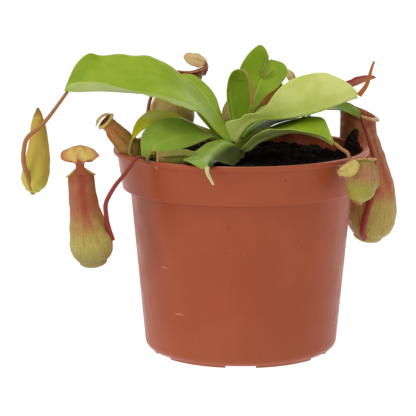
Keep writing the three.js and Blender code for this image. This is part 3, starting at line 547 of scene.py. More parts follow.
# %% The leaves' lines, in millimetres
LEAVES = {
    "leaf_left_long": {
        "midrib": [[-3, -4, 99.5], [-8, -5, 103], [-13, -6, 108.5], [-18, -8, 113], [-24.5, -10, 117.5],
          [-34, -12, 121], [-42, -13, 123], [-52.5, -13, 124], [-65.5, -12, 124.5], [-76.5, -11, 124],
          [-82, -10, 124.5]],
        "first": [[-4.5, -6, 99], [-8, -9, 101.5], [-13.5, -13, 107.5], [-19, -19, 115],
          [-24.5, -23, 117.5], [-33.5, -27, 121.5], [-41.5, -28, 124], [-51.5, -28, 127],
          [-64.5, -26, 129.5], [-75, -20, 129], [-81, -13, 126.5]],
        "second": [[-6, 1, 103.5], [-9, 3, 108.5], [-14.5, 6, 114.5], [-19, 8, 119], [-24.5, 10, 125],
          [-33.5, 11, 133], [-44, 10, 138], [-56, 7, 139], [-65.5, 4, 139], [-71.5, 1, 140],
          [-77, -3, 135.5], [-80, -7, 129.5]],
    },
    "leaf_left_front": {
        "midrib": [[-4, -3, 99.5], [-5.5, -5, 100.5], [-12.5, -8, 103.5], [-18.5, -13, 104.5],
          [-28, -23, 105], [-33.5, -29, 104], [-38.5, -34.5, 102], [-42, -38.5, 98.5],
          [-44, -40.5, 95.5]],
        "first": [[-4, -4.5, 98.5], [-6, -7, 99.5], [-12.5, -11, 102.5], [-18, -18, 101.5],
          [-22.5, -25, 100.5], [-27, -31, 100], [-32.5, -37, 99], [-38.5, -40.5, 98.5],
          [-42, -41.5, 96.5]],
        "second": [[-5, -1.5, 100], [-7.5, -3, 101.5], [-14.5, -5, 103.5], [-18.5, -7, 105],
          [-23, -9, 108.5], [-27.5, -11, 111], [-32, -14, 112], [-37.5, -19, 111.5], [-42, -25, 110],
          [-45, -31, 107], [-45.5, -36, 103], [-45, -39, 99]],
    },
    "leaf_left_back": {
        "midrib": [[-6.5, -1, 99.5], [-13.5, 0, 101.5], [-19.5, 1, 104.5], [-26.5, 1, 108],
          [-34.5, -2, 110.5], [-42, -9, 111], [-47, -16, 107.5], [-50, -21.5, 103]],
        "first": [[-7, -3, 99], [-13.5, -5, 100.5], [-20, -8, 102], [-27, -10, 104.5], [-35.5, -13, 107],
          [-41.5, -17, 108.5], [-45.5, -20, 107], [-49, -22, 104]],
        "second": [[-7.5, 2, 100.5], [-14, 4, 103.5], [-20.5, 6, 106], [-27, 8, 109], [-32.5, 8, 111.5],
          [-38.5, 6, 113], [-43.5, 1, 113], [-47, -6, 111], [-49.5, -13, 108], [-50.5, -19, 104.5]],
    },
    "leaf_back_left": {
        "midrib": [[-6, 3, 100], [-9, 6, 107], [-12, 9, 111.5], [-16, 13, 117], [-20, 18, 121.5],
          [-25, 22, 125.5], [-29, 25, 127.5]],
        "first": [[-8, 1.5, 99.5], [-14, 3, 103.5], [-19, 6, 109], [-22, 9, 113], [-26, 14, 118],
          [-29.5, 20, 122.5], [-30.5, 24, 126]],
        "second": [[-4.5, 4, 101.5], [-8, 8.5, 107.5], [-10, 11, 112.5], [-12, 15, 117.5], [-16, 20, 122.5],
          [-22, 24, 127], [-27, 26, 128]],
    },
    "leaf_centre_young": {
        "midrib": [[-2, 1.5, 101.5], [-3.5, 3, 107.5], [-5, 5, 115], [-5.5, 7, 120.5], [-5, 8, 125.5],
          [-3.5, 8, 128.5], [0, 6, 131.5]],
        "first": [[-3.5, -0.5, 101.5], [-5, -1, 108.5], [-6.5, 0, 118], [-7, 1, 123.5], [-6, 3, 128.5],
          [-4, 5, 131.5], [-1.5, 6, 132.5]],
        "second": [[0, 4, 103], [2, 7.5, 109], [4, 9.5, 114.5], [4, 10, 119.5], [3.5, 9.5, 125],
          [2.5, 8, 129], [1, 6, 131.5]],
    },
    "leaf_centre_broad": {
        "midrib": [[-1.5, 2.5, 99.5], [0, 6, 101.5], [1.5, 9, 107], [4, 12, 112], [7, 17, 120],
          [10, 21, 127.5], [12, 23, 131.5], [13, 24.5, 134.5]],
        "first": [[-3, 2.5, 99.5], [-2, 5, 101.5], [-1.5, 9, 109.5], [-2, 13, 117], [-2.5, 16.5, 125],
          [-0.5, 19, 132], [2.5, 21.5, 137], [6, 23, 140.5], [9, 24, 142], [11.5, 24.5, 140],
          [13, 24.5, 136.5]],
        "second": [[0, 2, 100], [2, 7, 102.5], [5.5, 11, 111.5], [11, 13.5, 118], [15.5, 15.5, 121.5],
          [19.5, 18, 125], [22, 20.5, 128.5], [21.5, 22.5, 131.5], [19.5, 24, 133.5],
          [16, 24.5, 134.5], [14, 24.5, 135]],
    },
    "leaf_right_long": {
        "midrib": [[-2.5, -4, 99], [-1, -5.5, 102.5], [1, -6.5, 105.5], [4, -8, 109], [9.5, -9, 111],
          [19, -10, 111.5], [28.5, -11, 113], [37.5, -11, 115.5], [45.5, -11, 119], [53, -9, 122.5]],
        "first": [[-4.5, -6, 100.5], [-6.5, -7, 105], [-7.5, -8, 108.5], [-5, -9, 110], [-1, -10, 111],
          [2, -12, 113.5], [8, -14.5, 114.5], [11.5, -16, 118], [16, -17, 124.5], [21.5, -18, 129.5],
          [29, -19, 132.5], [37.5, -19, 133.5], [44.5, -17, 131], [50, -13, 127.5],
          [53.5, -9.5, 123.5]],
        "second": [[-1, -1.5, 100], [2.5, 0.5, 105], [7, 3, 108.5], [13.5, 7, 111], [21.5, 11, 113.5],
          [30, 13, 115], [38, 12, 116.5], [45.5, 7, 117], [50.5, 0, 118.5], [54, -7, 120.5]],
    },
    "leaf_right_low": {
        "midrib": [[-1.5, -2.5, 98.5], [1.5, 0, 101], [4, 2, 103.5], [8, 4, 106], [14.5, 7, 108.5],
          [23, 10, 110.5], [32.5, 12.5, 112], [41, 14.5, 113], [49, 17, 112.5], [53.5, 18.5, 112],
          [57, 19.5, 110]],
        "first": [[-2.5, -4, 98], [2, -4, 100.5], [6, -5, 103.5], [11, -6, 105.5], [15.5, -6, 108],
          [21, -5.5, 109.5], [28, -3.5, 111.5], [34.5, 1, 113], [41.5, 7, 113], [48, 12, 112],
          [53, 15.5, 109.5], [56.5, 18, 107.5]],
        "second": [[-0.5, 2, 99.5], [4.5, 7, 104.5], [10.5, 12, 108], [18.5, 17, 111], [28, 21, 113],
          [37.5, 23.5, 114.5], [46, 24.5, 115], [52, 24, 114], [56, 21.5, 111.5]],
    },
    "leaf_front_small": {
        "midrib": [[-2.5, -3.5, 96], [-2, -7, 97.5], [-6, -16, 100.5], [-10.5, -27, 100.5],
          [-14, -41, 99.5], [-15, -52, 98.8], [-15.3, -59, 97.8], [-15, -62.5, 95.8]],
        "first": [[-4.5, -4, 97.5], [-7, -7, 101], [-13, -13, 101], [-18.5, -23, 99.5], [-24, -38, 97.5],
          [-26, -47, 97.5], [-23.5, -56, 98], [-17.5, -62, 95.8]],
        "second": [[-0.5, -3.5, 94.5], [-0.5, -9, 96], [0, -18, 95], [-1.5, -32, 93.8], [-5, -45, 94.5],
          [-10.5, -56, 98], [-13.5, -62.5, 96]],
    },
    "leaf_right_front": {
        "midrib": [[-0.5, -6.5, 95], [4, -13, 97], [7.5, -18, 101], [12.5, -21.5, 104],
          [18, -24.5, 106.5], [26, -27, 107.5], [32, -29, 106.5], [38, -30, 104.5], [42, -30, 102]],
        "first": [[-0.5, -9, 96], [1.5, -14, 99], [5.5, -22, 104.5], [11, -28, 108], [17.5, -33, 109.5],
          [26.5, -35, 109], [34.5, -34, 107.5], [40.5, -31.5, 104.5]],
        "second": [[1, -4, 97.5], [7, -1, 102.5], [14.5, 1, 106], [24.5, 2.5, 109], [31.5, 2, 111],
          [36, -1, 111], [38.5, -6, 110], [40, -14, 108], [41, -22, 105.5], [42, -28, 103.5]],
    },
    "leaf_back_right": {
        "midrib": [[-0.5, 1.5, 97], [1.5, 5, 99], [6, 12, 103.5], [12, 22, 107], [19.5, 34, 108.5],
          [26.5, 44, 107], [32, 50, 104.5]],
        "first": [[-1.5, 2.5, 97.5], [0, 6, 99], [2.5, 15, 103.5], [7, 27, 109.5], [13, 40, 111.5],
          [21, 50, 109.5], [28.5, 54, 106]],
        "second": [[1, 1, 97.5], [2.5, 4, 99], [10, 8, 104], [18, 16, 107], [27, 28, 107.5],
          [33, 40, 106.5], [34, 47, 104.5]],
    },
}
print("leaves:", len(LEAVES))

# %% Leaf blades
ALONG, ACROSS = 120, 44
BELLY = 0.12
BLADE_THICKNESS = 0.5
MARGIN_THICKNESS = 0.28
KEEL_THICKNESS = 1.1
KEEL_HALF_WIDTH = 1.1
MARGIN_WAVE = 0.35


def leaf_middle(lines):
    """The blade's middle surface, how wide each half is, and which way is up along it."""
    rows = np.linspace(0, 1, ALONG + 1)
    midrib, first, second = (by_length(lines[key], rows) for key in ("midrib", "first", "second"))
    heading = unit(np.gradient(midrib, axis=0))
    share = np.linspace(-1, 1, ACROSS + 1)
    surface = np.zeros((ALONG + 1, ACROSS + 1, 3))
    distance = np.zeros((ALONG + 1, ACROSS + 1))
    for column, v in enumerate(share):
        to_edge = (first if v < 0 else second) - midrib
        width = np.linalg.norm(to_edge, axis=1, keepdims=True)
        normal = unit(np.cross(heading, to_edge))
        normal *= np.where(normal[:, 2:] < 0, -1, 1)
        sag = BELLY * width * (abs(v) - v * v)
        surface[:, column] = midrib + to_edge * abs(v) - normal * sag
        distance[:, column] = width[:, 0] * abs(v)
    return surface, distance, share


def facing_of(surface):
    lengthways = np.gradient(surface, axis=0)
    sideways = np.gradient(surface, axis=1)
    return unit(np.cross(lengthways, sideways))


def sheet_faces(rows, columns, flip=False):
    """Faces of a thin sheet: its first side, its second side, and the rim between them."""
    count = rows * columns
    faces = grid_faces(rows, columns, flip=not flip) + grid_faces(rows, columns, flip=flip, start=count)
    rim = ([(i, 0) for i in range(rows)] + [(rows - 1, j) for j in range(1, columns)]
           + [(i, columns - 1) for i in range(rows - 2, -1, -1)]
           + [(0, j) for j in range(columns - 2, 0, -1)])
    for (i, j), (m, n) in zip(rim, rim[1:] + rim[:1]):
        face = (i * columns + j, m * columns + n, count + m * columns + n, count + i * columns + j)
        faces.append(face if flip else face[::-1])
    return faces


QUILTING_DEPTH, QUILTING_SIZE = 0.16, 7.0
MARGIN_WAVE_SIZE = 9.0
GROOVE_DEPTH = 0.28
MARGIN_START, PALE_MARGIN_START, PALE_MARGIN_FULL = 0.8, 0.955, 0.995  # shares of the half width
RIB_PALE_HALF_WIDTH = 0.55
PAINTED_ROLL = ["leaf_front_small"]  # this leaf's mesh is not rolled: one half gets painted shade where the real leaf rolls under, and the roll's crest a painted highlight
# Where the painted shade starts and is full across the half, and how dark it is; where the painted highlight
# on the roll's crest lies across the leaf, and its half width.
ROLL_START, ROLL_FULL, ROLL_SHADE = 0.08, 0.36, 0.92
ROLL_CREST_HIGHLIGHT, ROLL_CREST_HIGHLIGHT_HALF_WIDTH = -0.06, 0.14


def leaf_piece(name, lines, finish, upper_side=1, wave=1.0):
    seed = len(name) + name_seed(name)
    surface, distance, share = leaf_middle(lines)
    normal = facing_of(surface) * upper_side
    swelling = np.sin(math.pi * np.linspace(0, 1, ALONG + 1))[:, None]
    quilting = QUILTING_DEPTH * uneven(surface, QUILTING_SIZE, seed) * np.abs(share)
    margin = MARGIN_WAVE * wave * share ** 4 * uneven(surface, MARGIN_WAVE_SIZE, seed + 3)
    surface = surface + normal * ((quilting + margin) * swelling)[..., None]
    keel = np.exp(-(distance / KEEL_HALF_WIDTH) ** 2)
    thinning = step_up(np.abs(share), MARGIN_START, 1.0)
    blade = BLADE_THICKNESS + (MARGIN_THICKNESS - BLADE_THICKNESS) * thinning
    above = surface + normal * (blade / 2 - GROOVE_DEPTH * keel)[..., None]
    below = surface - normal * (blade / 2 + KEEL_THICKNESS * 0.5 * keel)[..., None]
    rows, columns = ALONG + 1, ACROSS + 1
    places = np.concatenate([above.reshape(-1, 3), below.reshape(-1, 3)])
    faces = sheet_faces(rows, columns, upper_side < 0)
    u, v = np.meshgrid(np.linspace(0, 1, rows), share, indexing="ij")
    uv = np.stack([u, 0.5 + 0.5 * v], axis=-1).reshape(-1, 2)
    margin_line = step_up(np.abs(v), PALE_MARGIN_START, PALE_MARGIN_FULL)
    rib_line = np.exp(-(distance / RIB_PALE_HALF_WIDTH) ** 2) * (1 - 0.5 * u)
    pale = np.maximum(0.8 * margin_line, rib_line)
    shaded = np.zeros((rows, columns))
    # The roll is not in the mesh. Its rolled half gets painted shade, and a pale band on the crest stands for
    # the roll's pale face with a painted highlight.
    if name in PAINTED_ROLL:
        shaded = ROLL_SHADE * step_up(v, ROLL_START, ROLL_FULL)
        pale = np.maximum(pale, 0.75 * np.exp(-((v - ROLL_CREST_HIGHLIGHT) / ROLL_CREST_HIGHLIGHT_HALF_WIDTH) ** 2))
    return new_piece(name + "_blade", places, faces, [LEAF_FINISHES[finish]],
                     uv=np.concatenate([uv, uv]),
                     values={"upper": np.repeat([1.0, 0.0], rows * columns),
                             "pale": np.tile(pale.ravel(), 2), "shaded": np.tile(shaded.ravel(), 2)})


# %% [markdown]
# The upper face is the one that looked at the stem's tip as the leaf grew. Where a leaf is
# folded or rolled it turns away from the viewer, so each leaf says which side of its grid is up.

# %% Every leaf
LEAF_LOOKS = {  # finish, slot, side of the grid that is the upper face, strength of the margin's waves
    "leaf_left_long": ("green", "leaf", -1, 1.2),
    "leaf_left_front": ("deep", "leaf", -1, 0.8),
    "leaf_left_back": ("golden", "leaf", -1, 0.8),
    "leaf_back_left": ("green", "leaf", -1, 0.7),
    "leaf_centre_young": ("young", "leaf_pale", -1, 0.4),
    "leaf_centre_broad": ("young", "leaf", -1, 0.9),
    "leaf_right_long": ("pale", "leaf_pale", 1, 0.9),
    # This leaf's finish is a darker copy of the green: painted shade.
    "leaf_right_low": ("shade", "leaf", 1, 0.6),
    "leaf_front_small": ("deep", "leaf", 1, 0.6),
    "leaf_right_front": ("green", "leaf", 1, 0.7),
    "leaf_back_right": ("green", "leaf", 1, 0.7),
}
for leaf_name, leaf_lines in LEAVES.items():
    look, slot, side, wave = LEAF_LOOKS[leaf_name]
    finish_piece(leaf_piece(leaf_name, leaf_lines, look, side, wave), slot, leaf_name)

# %% [markdown]
# ## Pitcher finish
# A pitcher is the leaf's own wall, swollen round a hollow. It is yellow-green low down and
# flushes copper and red towards the mouth, in long broken streaks over a net of dark specks.
# The inside is pale and glazed with wax. The colour at each height is set by a ramp, and the
# height is a value stored on the mesh.

# %% Pitcher finish
STRIPE_RED = paint(150, 50, 40)
GRIME = paint(58, 34, 22)


def pitcher_finish(name, stops, streak_colour, streak_share, speck_colour, speck_share=0.5):
    material, tree, shader = new_material(name, roughness=0.48, Specular_IOR_Level=0.2,
                                          Coat_Weight=0.03, Coat_Roughness=0.3)
    place = object_place(tree)
    shade = ramp(tree, stored(tree, "along"), stops)
    flush = streaks(tree, lines_across=30.0, breaks_along=5.0, sharpness=0.7)["Mask"]
    shade = cover(tree, flush, streak_share, shade, streak_colour)
    broad = patches(tree, place, size_mm=4.0, contrast=0.6)
    shade = cover(tree, broad, 0.28, shade, stops[0][1])
    freckles = specks(tree, place, spacing_mm=0.9, size=0.3, kept=speck_share)
    shade = cover(tree, freckles, 0.45, shade, speck_colour)
    shade = mix(tree, stored(tree, "stripe"), shade, STRIPE_RED)
    grime = specks(tree, place, spacing_mm=4.5, size=0.11, kept=0.3)
    shade = cover(tree, grime, 0.75, shade, GRIME)
    join(tree, shade, shader, "Base Color")
    net = streaks(tree, lines_across=40.0, breaks_along=26.0, sharpness=0.3)
    bumped(tree, shader, net["Height"], 0.35, 0.2)
    return material


def inside_finish(name, colour, blotch):
    material, tree, shader = new_material(name, Specular_IOR_Level=0.3)
    spots = specks(tree, object_place(tree), spacing_mm=1.6, size=0.38, kept=0.45)
    join(tree, cover(tree, spots, 0.6, colour, blotch), shader, "Base Color")
    return material


def lip_finish(name, dark, light):
    material, tree, shader = new_material(name, roughness=0.42, Specular_IOR_Level=0.22,
                                          Coat_Weight=0.04, Coat_Roughness=0.2)
    stripes = streaks(tree, lines_across=26.0, breaks_along=0.6, sharpness=0.9)["Mask"]
    shade = mix(tree, stripes, dark, light)
    join(tree, cover(tree, stored(tree, "rib"), 0.35, shade, light), shader, "Base Color")
    return material


COPPER_STOPS = [(0.0, paint(146, 134, 70)), (0.26, paint(178, 164, 84)), (0.46, paint(172, 132, 74)),
                (0.64, paint(166, 92, 60)), (1.0, paint(156, 76, 46))]
RED_STOPS = [(0.0, paint(174, 158, 82)), (0.3, paint(174, 148, 76)), (0.46, paint(170, 78, 58)),
             (1.0, paint(146, 60, 40))]
TAN_STOPS = [(0.0, paint(176, 158, 84)), (0.5, paint(184, 154, 90)), (0.8, paint(162, 96, 56)),
             (1.0, paint(140, 48, 38))]
GREEN_STOPS = [(0.0, paint(190, 184, 72)), (0.4, paint(196, 170, 72)), (0.86, paint(184, 144, 62)),
               (0.97, paint(110, 34, 34))]
BULB_STOPS = [(0.0, paint(158, 154, 60)), (0.3, paint(152, 146, 58)), (0.62, paint(170, 118, 84)),
              (0.85, paint(160, 118, 76)), (1.0, paint(150, 146, 62))]
OLIVE_STOPS = [(0.0, paint(128, 130, 46)), (0.6, paint(118, 116, 40)), (1.0, paint(150, 128, 70))]
AMBER_STOPS = [(0.0, paint(138, 142, 50)), (0.35, paint(170, 130, 64)), (1.0, paint(184, 112, 62))]
PITCHER_FINISHES = {
    "amber": pitcher_finish("pitcher_amber", AMBER_STOPS, paint(164, 84, 46), 0.4, paint(124, 66, 38)),
    "copper": pitcher_finish("pitcher_copper", COPPER_STOPS, paint(152, 66, 50), 0.6,
                             paint(108, 48, 36), 0.75),
    "red": pitcher_finish("pitcher_red", RED_STOPS, paint(136, 60, 38), 0.6, paint(104, 42, 30)),
    "tan": pitcher_finish("pitcher_tan", TAN_STOPS, paint(146, 82, 44), 0.4, paint(110, 62, 34)),
    "green": pitcher_finish("pitcher_green", GREEN_STOPS, paint(170, 112, 50), 0.25,
                            paint(130, 80, 38), 0.3),
    "bulb": pitcher_finish("pitcher_bulb", BULB_STOPS, paint(166, 92, 74), 0.4, paint(116, 58, 56), 0.7),
    "olive": pitcher_finish("pitcher_olive", OLIVE_STOPS, paint(100, 84, 34), 0.4, paint(84, 60, 30), 0.5),
}
INSIDE_PALE = inside_finish("pitcher_inside", paint(176, 104, 54), paint(130, 50, 36))
INSIDE_SPECKLED = inside_finish("pitcher_inside_speckled", paint(186, 160, 98), paint(104, 44, 44))
LIP_RED = lip_finish("lip_red", paint(140, 46, 32), paint(196, 150, 74))
LIP_TAN = lip_finish("lip_tan", paint(164, 108, 58), paint(206, 182, 106))
LIP_PALE = lip_finish("lip_pale", paint(186, 158, 82), paint(212, 196, 116))
print("pitcher finishes:", ", ".join(PITCHER_FINISHES))

# %% [markdown]
# ## Pitchers
# A pitcher swells from the end of its tendril, with a round foot, a fat lower half and a
# narrower neck. Two thin wings run down the front of an open one, and the mouth slants up to the
# lid. Its lip rolls out and over in fine ribs. It could be turned on a straight axis and then
# bent, but here each ring stands square to a bent line from the start. The wall is a true wall,
# so the mouth opens into a real hollow.

# %% The pitchers' lines, in millimetres
PITCHERS = {
    "pitcher_far_left": {
        "axis": [[-97, -12, 78.3], [-96, -12, 84], [-94.5, -12, 92.5], [-94, -12, 101], [-94.2, -12, 109],
          [-94.1, -12, 116.2]],
        "radii": [3.8, 6.4, 5.8, 4.4, 3.3, 0.5],
        "front": 200, "closed": True,
    },
    "pitcher_left_front": {
        "axis": [[-66.8, -46, 51], [-67.5, -46, 58], [-68.8, -46, 66], [-70.5, -46, 75], [-71.5, -46, 83],
          [-72, -46, 89.5]],
        "radii": [6.4, 9.7, 8.6, 6.9, 6.2, 5.9],
        "front": 95, "tilt": 12,
    },
    "pitcher_left_rim": {
        "axis": [[-46.5, -14, 91.5], [-49.5, -14, 95.5], [-53, -14, 100], [-57.5, -15, 105], [-62, -16, 110]],
        "radii": [2, 5.2, 4.9, 3.9, 3.3],
        "front": 235, "tilt": 5,
    },
    "pitcher_back_left": {
        "axis": [[-31, 32, 92], [-33, 33.5, 100], [-33.5, 35, 107], [-31.5, 37, 114], [-28, 39, 120],
          [-25, 40, 126]],
        "radii": [3, 9.5, 11, 9.5, 6.8, 5.8],
        "front": 190, "tilt": 15,
    },
    "pitcher_back": {
        "axis": [[-5, 38, 92], [-2.5, 39, 99], [0, 40, 106], [5, 41, 112], [12, 42, 117], [19, 42, 121]],
        "radii": [2.5, 8, 9, 7, 5, 4.6],
        "front": 170, "tilt": 10,
    },
    "pitcher_right_large": {
        "axis": [[62, 36, 47.5], [63.5, 36, 57], [63, 36, 68], [60.5, 36, 81], [57.5, 36, 94],
          [56.5, 36, 107.5]],
        "radii": [7.2, 12, 12, 10.4, 9.3, 8.4],
        "front": 350, "tilt": 25,
    },
    "pitcher_right_squat": {
        "axis": [[54, -44, 78.5], [54, -44, 83], [54.1, -44, 88], [54.4, -44, 92.5], [54.8, -43.5, 96.5]],
        "radii": [2, 6.3, 7, 6, 4.7],
        "front": 330, "tilt": -10,
    },
    "pitcher_old_lying": {
        "axis": [[-19, -34.5, 95.2], [-23.5, -36, 95.5], [-29, -38, 95.8], [-34, -39.5, 96],
          [-38, -40.5, 96.3]],
        "radii": [1.8, 4.6, 4.9, 4, 3.6],
        "front": 280, "tilt": 0,
    },
}
print("pitchers:", len(PITCHERS))

# %% Pitcher sizes, in millimetres and in radians
ROUND = 144
UP_ROWS = 90
WALL = 0.8
LIP_REACH = 0.9
LIP_RISE = 0.8
LIP_RIBS = 36
LIP_RIB_DEPTH = 0.16
WING_TURN = math.radians(30)
WING_HALF_WIDTH = math.radians(3.2)
WING_REACH = 1.25
WING_START, WING_FULL, WING_FADE, WING_END = 0.26, 0.42, 0.84, 0.94  # shares of the way up
FOOT_ROWS, NECK_ROWS, LIP_ROWS, INSIDE_ROWS = 8, 4, 12, 30
NECK_PINCH = 0.08  # how far the mouth narrows where it rises to a neck
CORNER_TURN, CORNER_HALF_WIDTH, CORNER_REACH = 1.5, 0.22, 0.5
SWELL_DEPTH, SWELL_SIZE = 0.12, 3.0
LEAST_HOLLOW = 0.4
STRIPE_HALF_WIDTH, STRIPE_START, STRIPE_FULL = 0.34, 0.3, 0.6
OUTSIDE, LIP, INSIDE = 0, 1, 2  # the order of a cup's materials
TURNS = np.linspace(0, 2 * math.pi, ROUND, endpoint=False)


print("places in a ring:", ROUND)

# %% A pitcher's bent frame
def compass(degrees):
    """The way ahead on the floor plan: 0 is to the right, 90 is away from the viewer."""
    angle = math.radians(degrees)
    return np.array([math.cos(angle), math.sin(angle), 0.0])


class PitcherFrame:
    """The bent axis of a pitcher, and rings of places that stand square to it."""

    def __init__(self, spec):
        self.spec = spec
        self.tilt = math.tan(math.radians(spec.get("tilt", 0)))
        self.ahead = compass(spec["front"])

    def centre(self, t):
        return by_point(self.spec["axis"], [t])[0]

    def heading(self, t):
        ends = by_point(self.spec["axis"], [max(0.0, t - 0.01), min(1.0, t + 0.01)])
        return unit(ends[1] - ends[0])

    def radius(self, t):
        """The foot is an arc of an ellipse; the rest follows the list of radii."""
        radii = self.spec["radii"]
        foot_share = 1 / (len(radii) - 1)
        if t < foot_share:
            low, full = radii[0], radii[1]
            return math.sqrt(full ** 2 - (full ** 2 - low ** 2) * (1 - t / foot_share) ** 2)
        return by_point([[r, 0, 0] for r in radii], [t])[0][0]

    def ring(self, t, reach, rise=0.0):
        """One ring; reach and rise may differ round it."""
        heading = self.heading(t)
        front = unit(self.ahead - heading * (self.ahead @ heading))
        side = np.cross(heading, front)
        slope = self.tilt * float(step_up(np.array(t), 0.5, 1.0))
        reach = np.broadcast_to(np.asarray(reach, float), (ROUND,))
        rise = np.broadcast_to(np.asarray(rise, float), (ROUND,))
        lift = rise - reach * np.cos(TURNS) * slope
        return (self.centre(t) + np.outer(reach * np.cos(TURNS), front)
                + np.outer(reach * np.sin(TURNS), side) + np.outer(lift, heading))


print("radius of pitcher_back's mouth:", round(PitcherFrame(PITCHERS["pitcher_back"]).radius(1), 1), "mm")

# %% Pitcher cups
def wing_profile():
    """How much each direction round the pitcher takes part in a wing."""
    swell = np.zeros(ROUND)
    for centre in (WING_TURN, 2 * math.pi - WING_TURN):
        swell += np.exp(-((TURNS - centre) / WING_HALF_WIDTH) ** 2)
    return swell


def pitcher_piece(name, spec, finish, inside, lip, stripe=0.0, neck=(0.0, 1.0), roll=1.0):
    frame_of = PitcherFrame(spec)
    seed = name_seed(name)
    closed = spec.get("closed", False)
    wings = wing_profile()
    rings, along, zone, rib_value = [], [], [], []

    def put(ring, share, part, ribs=0.0):
        rings.append(ring)
        along.append(share)
        zone.append(part)
        rib_value.append(np.broadcast_to(np.asarray(ribs, float), (ROUND,)))

    base = frame_of.radius(0)
    for angle in np.linspace(0.06, math.pi / 2, FOOT_ROWS + 1)[:-1]:
        heading = frame_of.heading(0)
        ring = frame_of.ring(0, base * math.sin(angle)) + heading * (-0.5 * base * math.cos(angle))
        put(ring, 0.0, OUTSIDE)
    top = 0.995 if closed else 1.0
    way_up = np.linspace(0, top, UP_ROWS)
    wing_shares = step_up(way_up, WING_START, WING_FULL) * (1 - step_up(way_up, WING_FADE, WING_END))
    for t, wing_share in zip(way_up, wing_shares * (0.0 if closed else 1.0)):
        put(frame_of.ring(t, frame_of.radius(t) + WING_REACH * wing_share * wings), t, OUTSIDE)
    if not closed:
        mouth = frame_of.radius(1)
        ribs = 0.5 + 0.5 * np.cos(LIP_RIBS * TURNS)
        from_back = np.abs(TURNS - math.pi)
        neck_rise, neck_half_width = neck
        to_lid = np.exp(-(from_back / neck_half_width) ** 2)
        corners = (neck_rise > 0) * np.exp(-((from_back - CORNER_TURN) / CORNER_HALF_WIDTH) ** 2)
        for share in np.linspace(1 / NECK_ROWS, 1.0, NECK_ROWS) if neck_rise else []:
            narrowed = mouth * (1 - NECK_PINCH * share)
            put(frame_of.ring(1, narrowed, neck_rise * share * to_lid), 1.0, OUTSIDE)
        for turn in np.linspace(0.12, math.pi, LIP_ROWS):
            overhang = LIP_REACH * roll + LIP_RIB_DEPTH * ribs + CORNER_REACH * corners
            out = mouth * (1 - NECK_PINCH if neck_rise else 1.0) + overhang * math.sin(turn)
            up = LIP_RISE * roll * (1 - math.cos(turn)) / 2 + neck_rise * to_lid
            put(frame_of.ring(1, out, up), 1.0, LIP, ribs)
        for t in np.linspace(0.99, 0.12, INSIDE_ROWS):
            put(frame_of.ring(t, max(LEAST_HOLLOW, frame_of.radius(t) - WALL)), t, INSIDE)
    places = np.concatenate(rings)
    middle = slice(FOOT_ROWS * ROUND, (FOOT_ROWS + UP_ROWS) * ROUND)
    away = unit(places[middle] - np.repeat([frame_of.centre(t) for t in way_up], ROUND, axis=0))
    places[middle] += away * (SWELL_DEPTH * uneven(places[middle], SWELL_SIZE, seed))[:, None]
    rows = len(rings)
    start_pole = rings[0].mean(axis=0)
    end_pole = frame_of.centre(1) + frame_of.heading(1) * 0.3 if closed else frame_of.centre(0.1)
    places = np.vstack([places, start_pole, end_pole])
    faces = capped_faces(rows, ROUND)
    along_value = np.concatenate([np.repeat(along, ROUND), [0.0, along[-1]]])
    ribs_all = np.concatenate([np.concatenate(rib_value), [0.0, 0.0]])
    turn_share = np.concatenate([np.tile(TURNS / (2 * math.pi), rows), [0.0, 0.0]])
    mirrored = np.abs(turn_share * 2 - 1)
    uv = np.stack([along_value, mirrored], axis=1)
    off_middle = np.minimum(np.abs(turn_share - 0.5) * 2 * math.pi, math.pi)
    stripe_value = (stripe * np.exp(-(off_middle / STRIPE_HALF_WIDTH) ** 2)
                    * step_up(along_value, STRIPE_START, STRIPE_FULL))
    part = np.repeat(zone[1:], ROUND)
    part = np.concatenate([part, np.zeros(ROUND, int), np.full(ROUND, zone[-1])])
    materials = [PITCHER_FINISHES[finish], lip, inside]
    return new_piece(name + "_cup", places, faces, materials, uv=uv,
                     values={"along": along_value, "rib": ribs_all, "stripe": stripe_value},
                     face_material=part)


print("rings in an open cup:", FOOT_ROWS + UP_ROWS + LIP_ROWS + INSIDE_ROWS)

# %% Every pitcher
NO_NECK = (0.0, 1.0)
PITCHER_LOOKS = {  # finish, inside, lip, slot, red stripe, rise and half width of the neck, lip's thickness
    "pitcher_far_left": ("green", INSIDE_PALE, LIP_TAN, "pitcher_green", 0.0, NO_NECK, 1.0),
    "pitcher_left_front": ("copper", INSIDE_PALE, LIP_PALE, "pitcher_red", 0.75, (3.6, 0.8), 1.0),
    "pitcher_left_rim": ("amber", INSIDE_PALE, LIP_PALE, "pitcher_red", 0.0, NO_NECK, 1.6),
    "pitcher_back_left": ("tan", INSIDE_PALE, LIP_RED, "pitcher_red", 0.0, (5.5, 1.1), 1.1),
    "pitcher_back": ("tan", INSIDE_PALE, LIP_TAN, "pitcher_red", 0.0, NO_NECK, 1.0),
    "pitcher_right_large": ("red", INSIDE_PALE, LIP_TAN, "pitcher_red", 0.0, NO_NECK, 1.9),
    "pitcher_right_squat": ("bulb", INSIDE_SPECKLED, LIP_TAN, "pitcher_green", 0.0, NO_NECK, 1.3),
    "pitcher_old_lying": ("olive", INSIDE_SPECKLED, LIP_TAN, "pitcher_green", 0.0, NO_NECK, 1.3),
}
for pitcher_name, pitcher_spec in PITCHERS.items():
    body_finish, inside_of, lip_of, slot, stripe, neck, roll = PITCHER_LOOKS[pitcher_name]
    cup = pitcher_piece(pitcher_name, pitcher_spec, body_finish, inside_of, lip_of, stripe, neck, roll)
    finish_piece(cup, slot, pitcher_name)

# %% [markdown]
# ## Lids
# Each lid is a small leaf on a short stalk at the back of the mouth. It is thicker at the stalk,
# thin and wavy at the margin, and paler or redder than the pitcher under it. Fine down covers
# it. It is built on its midrib, widening to a rounded blade.

# %% Lid finish
NECK_RED = paint(150, 62, 44)


